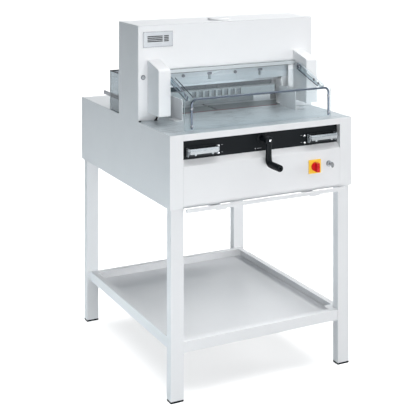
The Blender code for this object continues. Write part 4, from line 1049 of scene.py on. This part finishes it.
def make_cover_screws(finishes):
    """Small screws that hold the sheet covers."""
    screws = Shape()
    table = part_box("front_table")[1].z
    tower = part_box("tower_front_cover")[0].y
    left_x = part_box("side_cover_left")[0].x + SCREW_SINK
    right_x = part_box("side_cover_right")[1].x - SCREW_SINK
    for x, direction in ((left_x, LEFT), (right_x, RIGHT)):
        for y, z in ((tower - 0.032, table - 0.014), (tower - 0.026, table - 0.060)):
            flush_screw(screws, Vector((x, y, z)), direction, 0.0030)
    covers = (("rear_cover", 0.018, 0.018, 0.018), ("tower_hood", 0.016, 0.05, 0.03))
    for name, side, foot, head in covers:
        low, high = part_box(name)
        for x in (low.x + side, high.x - side):
            for z in (low.z + foot, mid(low.z, high.z), high.z - head):
                flush_screw(screws, Vector((x, high.y - SCREW_SINK, z)), BACK, 0.0038)
    screws.piece("cover_screws", finishes["bright_steel"], "machine", slot="bright_steel")


# ---------------------------------------------------------------- studio


def area_light(name, place, target, size, power, colour=(1, 1, 1)):
    """A rectangular lamp at a place, turned towards a target."""
    data = bpy.data.lights.new(name, "AREA")
    data.shape = "RECTANGLE"
    data.size, data.size_y = size
    data.energy = power
    data.color = colour
    lamp = bpy.data.objects.new(name, data)
    lamp.location = place
    lamp.rotation_mode = "QUATERNION"
    lamp.rotation_quaternion = (Vector(target) - Vector(place)).to_track_quat("-Z", "Y")
    bpy.context.scene.collection.objects.link(lamp)
    return lamp


def light_only(lamp, name, receivers):
    """Lets a lamp light only the given objects. Returns their collection."""
    lit = bpy.data.collections.new(name)
    for receiver in receivers:
        lit.objects.link(receiver)
    lamp.light_linking.receiver_collection = lit
    return lit


def make_floor():
    """A wide pale floor that throws little light back up."""

    def build(tree):
        mottle = ranged(tree, grain(tree, 0.8, 2.0), 0.0, 1.0)
        tone = blend_colour(tree, mottle, FLOOR_PALE, scaled(FLOOR_PALE, 0.99))
        seen = add(tree, "BsdfDiffuse", {"Color": tone}).outputs["BSDF"]
        unseen = add(tree, "BsdfDiffuse", {"Color": (*FLOOR_BOUNCE, 1)}).outputs["BSDF"]
        path = add(tree, "LightPath").outputs["Is Diffuse Ray"]
        return add(tree, "MixShader", {0: path, 1: seen, 2: unseen}).outputs["Shader"]

    bm = bmesh.new()
    circle = arc(FLOOR_RADIUS, 0, 360, 64)[:-1]
    bm.faces.new([bm.verts.new((x, y, 0)) for x, y in circle])
    mesh = bpy.data.meshes.new("studio_floor")
    bm.to_mesh(mesh)
    bm.free()
    mesh.materials.append(surface("studio_floor_paint", build))
    floor = bpy.data.objects.new("studio_floor", mesh)
    bpy.context.scene.collection.objects.link(floor)
    return floor


def make_room():
    """A pale room, darker to the left, that is white where the camera sees it."""
    world = bpy.data.worlds.new("studio")
    world.use_nodes = True
    tree = world.node_tree
    tree.nodes.clear()
    direction = add(tree, "TexCoord").outputs["Generated"]
    side_inputs = {0: direction, 1: ROOM_BRIGHT_SIDE}
    side = add(tree, "VectorMath", side_inputs, operation="DOT_PRODUCT").outputs["Value"]
    glow_inputs = {"Value": side, "From Min": -1.0, "To Min": ROOM_DARK, "To Max": ROOM_BRIGHT}
    glow = add(tree, "MapRange", glow_inputs).outputs["Result"]
    walls = add(tree, "Background", {"Color": (*ROOM_COLOUR, 1), "Strength": glow})
    ambient = add(tree, "Background", {"Color": (*ROOM_AMBIENT, 1), "Strength": 1.0})
    seen = add(tree, "Background", {"Color": (1, 1, 1, 1), "Strength": 1.0})
    path = add(tree, "LightPath").outputs
    lighting = add(
        tree,
        "MixShader",
        {0: path["Is Diffuse Ray"], 1: walls.outputs["Background"], 2: ambient.outputs["Background"]},
    )
    mixed = add(
        tree,
        "MixShader",
        {0: path["Is Camera Ray"], 1: lighting.outputs["Shader"], 2: seen.outputs["Background"]},
    )
    output = add(tree, "OutputWorld")
    tree.links.new(mixed.outputs["Shader"], output.inputs["Surface"])
    bpy.context.scene.world = world


def make_lamps(nodes, floor):
    """Soft lamps all round, small fills for shaded pieces, and a glow on the floor alone."""
    area_light("front_softbox", (-0.6, -4.6, 0.5), (0, 0, 0.7), (2.6, 1.6), FRONT_POWER)
    area_light("high_softbox", (1.2, -4.4, 2.8), (0, 0, 0.9), (2.6, 1.6), HIGH_POWER)
    area_light("top_softbox", (0.8, -0.2, 3.6), (0.2, 0, 0.6), (3.2, 3.2), TOP_POWER)
    area_light("right_softbox", (4.0, -1.0, 1.4), (0, 0, 0.7), (2.0, 2.0), RIGHT_POWER)
    area_light("side_strip", (-1.7, -0.2, 0.05), (-0.2, 0, 0.5), (2.6, 0.5), SIDE_POWER, SIDE_COLOUR)
    area_light("low_strip", (-1.3, 0, 0.02), (-0.5, 0, 0.02), (2.0, 0.5), LOW_POWER, LOW_COLOUR)

    over_tray = (-0.05, -0.24, 0.52)
    tray_fill = area_light("tray_fill", over_tray, (-0.05, -0.24, 0.17), (0.6, 0.3), TRAY_POWER)
    light_only(tray_fill, "tray_only", [nodes["shelf_tray"]])
    in_throat = (-0.1, -0.06, 1.05)
    cheek_fill = area_light("cheek_fill", in_throat, (0.3, -0.05, 1.03), (0.1, 0.1), CHEEK_POWER)
    light_only(cheek_fill, "cheeks_only", [nodes["machine_frame"], nodes["tower_front_cover"]])
    rear_fill = area_light("rear_fill", (1.3, 4.4, 0.7), (0, 0, 0.75), (3.0, 1.4), REAR_POWER)
    light_only(rear_fill, "rear_only", [nodes[name] for name in REAR_FACES])

    sun_data = bpy.data.lights.new("floor_glow", "SUN")
    sun_data.energy = FLOOR_SUN
    sun_data.angle = math.radians(70)
    sun = bpy.data.objects.new("floor_glow", sun_data)
    bpy.context.scene.collection.objects.link(sun)
    sun.light_linking.blocker_collection = light_only(sun, "floor_only", [floor])


def make_camera():
    """A level camera whose lens is shifted down, so upright edges stay parallel.

    The shift holds at this place only. A camera moved elsewhere to look at the machine
    from another side gets a plain centred lens.
    """
    data = bpy.data.cameras.new("camera")
    data.lens = CAMERA_LENS
    data.shift_y = CAMERA_SHIFT
    data.clip_end = FLOOR_RADIUS * 3
    camera = bpy.data.objects.new("camera", data)
    camera.location = CAMERA_PLACE
    camera.rotation_euler = (math.radians(90), 0, CAMERA_HEADING)
    bpy.context.scene.collection.objects.link(camera)
    curve = data.driver_add("shift_y")
    for old in list(curve.modifiers):
        curve.modifiers.remove(old)
    driver = curve.driver
    driver.type = "AVERAGE"
    variable = driver.variables.new()
    variable.type = "TRANSFORMS"
    target = variable.targets[0]
    target.id = camera
    target.transform_type = "LOC_X"
    target.transform_space = "WORLD_SPACE"
    for steps, value in ((-2, 0), (-1, CAMERA_SHIFT), (1, CAMERA_SHIFT), (2, 0)):
        key = curve.keyframe_points.insert(CAMERA_PLACE.x + steps * SHIFT_WINDOW, value)
        key.interpolation = "LINEAR"
    bpy.context.scene.camera = camera


# ---------------------------------------------------------------- everything


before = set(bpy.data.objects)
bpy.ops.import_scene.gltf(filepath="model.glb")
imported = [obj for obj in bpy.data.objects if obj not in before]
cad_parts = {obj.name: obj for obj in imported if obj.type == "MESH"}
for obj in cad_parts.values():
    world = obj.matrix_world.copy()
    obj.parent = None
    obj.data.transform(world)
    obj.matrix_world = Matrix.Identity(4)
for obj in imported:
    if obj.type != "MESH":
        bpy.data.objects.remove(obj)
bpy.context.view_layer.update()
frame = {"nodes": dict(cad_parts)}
finishes = make_finishes()
dress_nodes(frame["nodes"], finishes)
make_crank(finishes)
make_bar_hardware(finishes)
make_band_marks(finishes)
make_wire_clips(finishes)
make_guard_bolts(finishes)
make_guard_stays(finishes)
make_button_ring(finishes)
make_sensor_cable(finishes)
make_corner_plugs(finishes)
make_name_plate(finishes)
make_rear_guard_hardware(finishes)
make_clamp_trim(finishes)
make_rail_seams(finishes)
make_carrier_nuts(finishes)
make_cover_screws(finishes)
floor = make_floor()
make_room()
make_lamps(frame["nodes"], floor)
make_camera()
bpy.context.scene.view_settings.view_transform = "Standard"
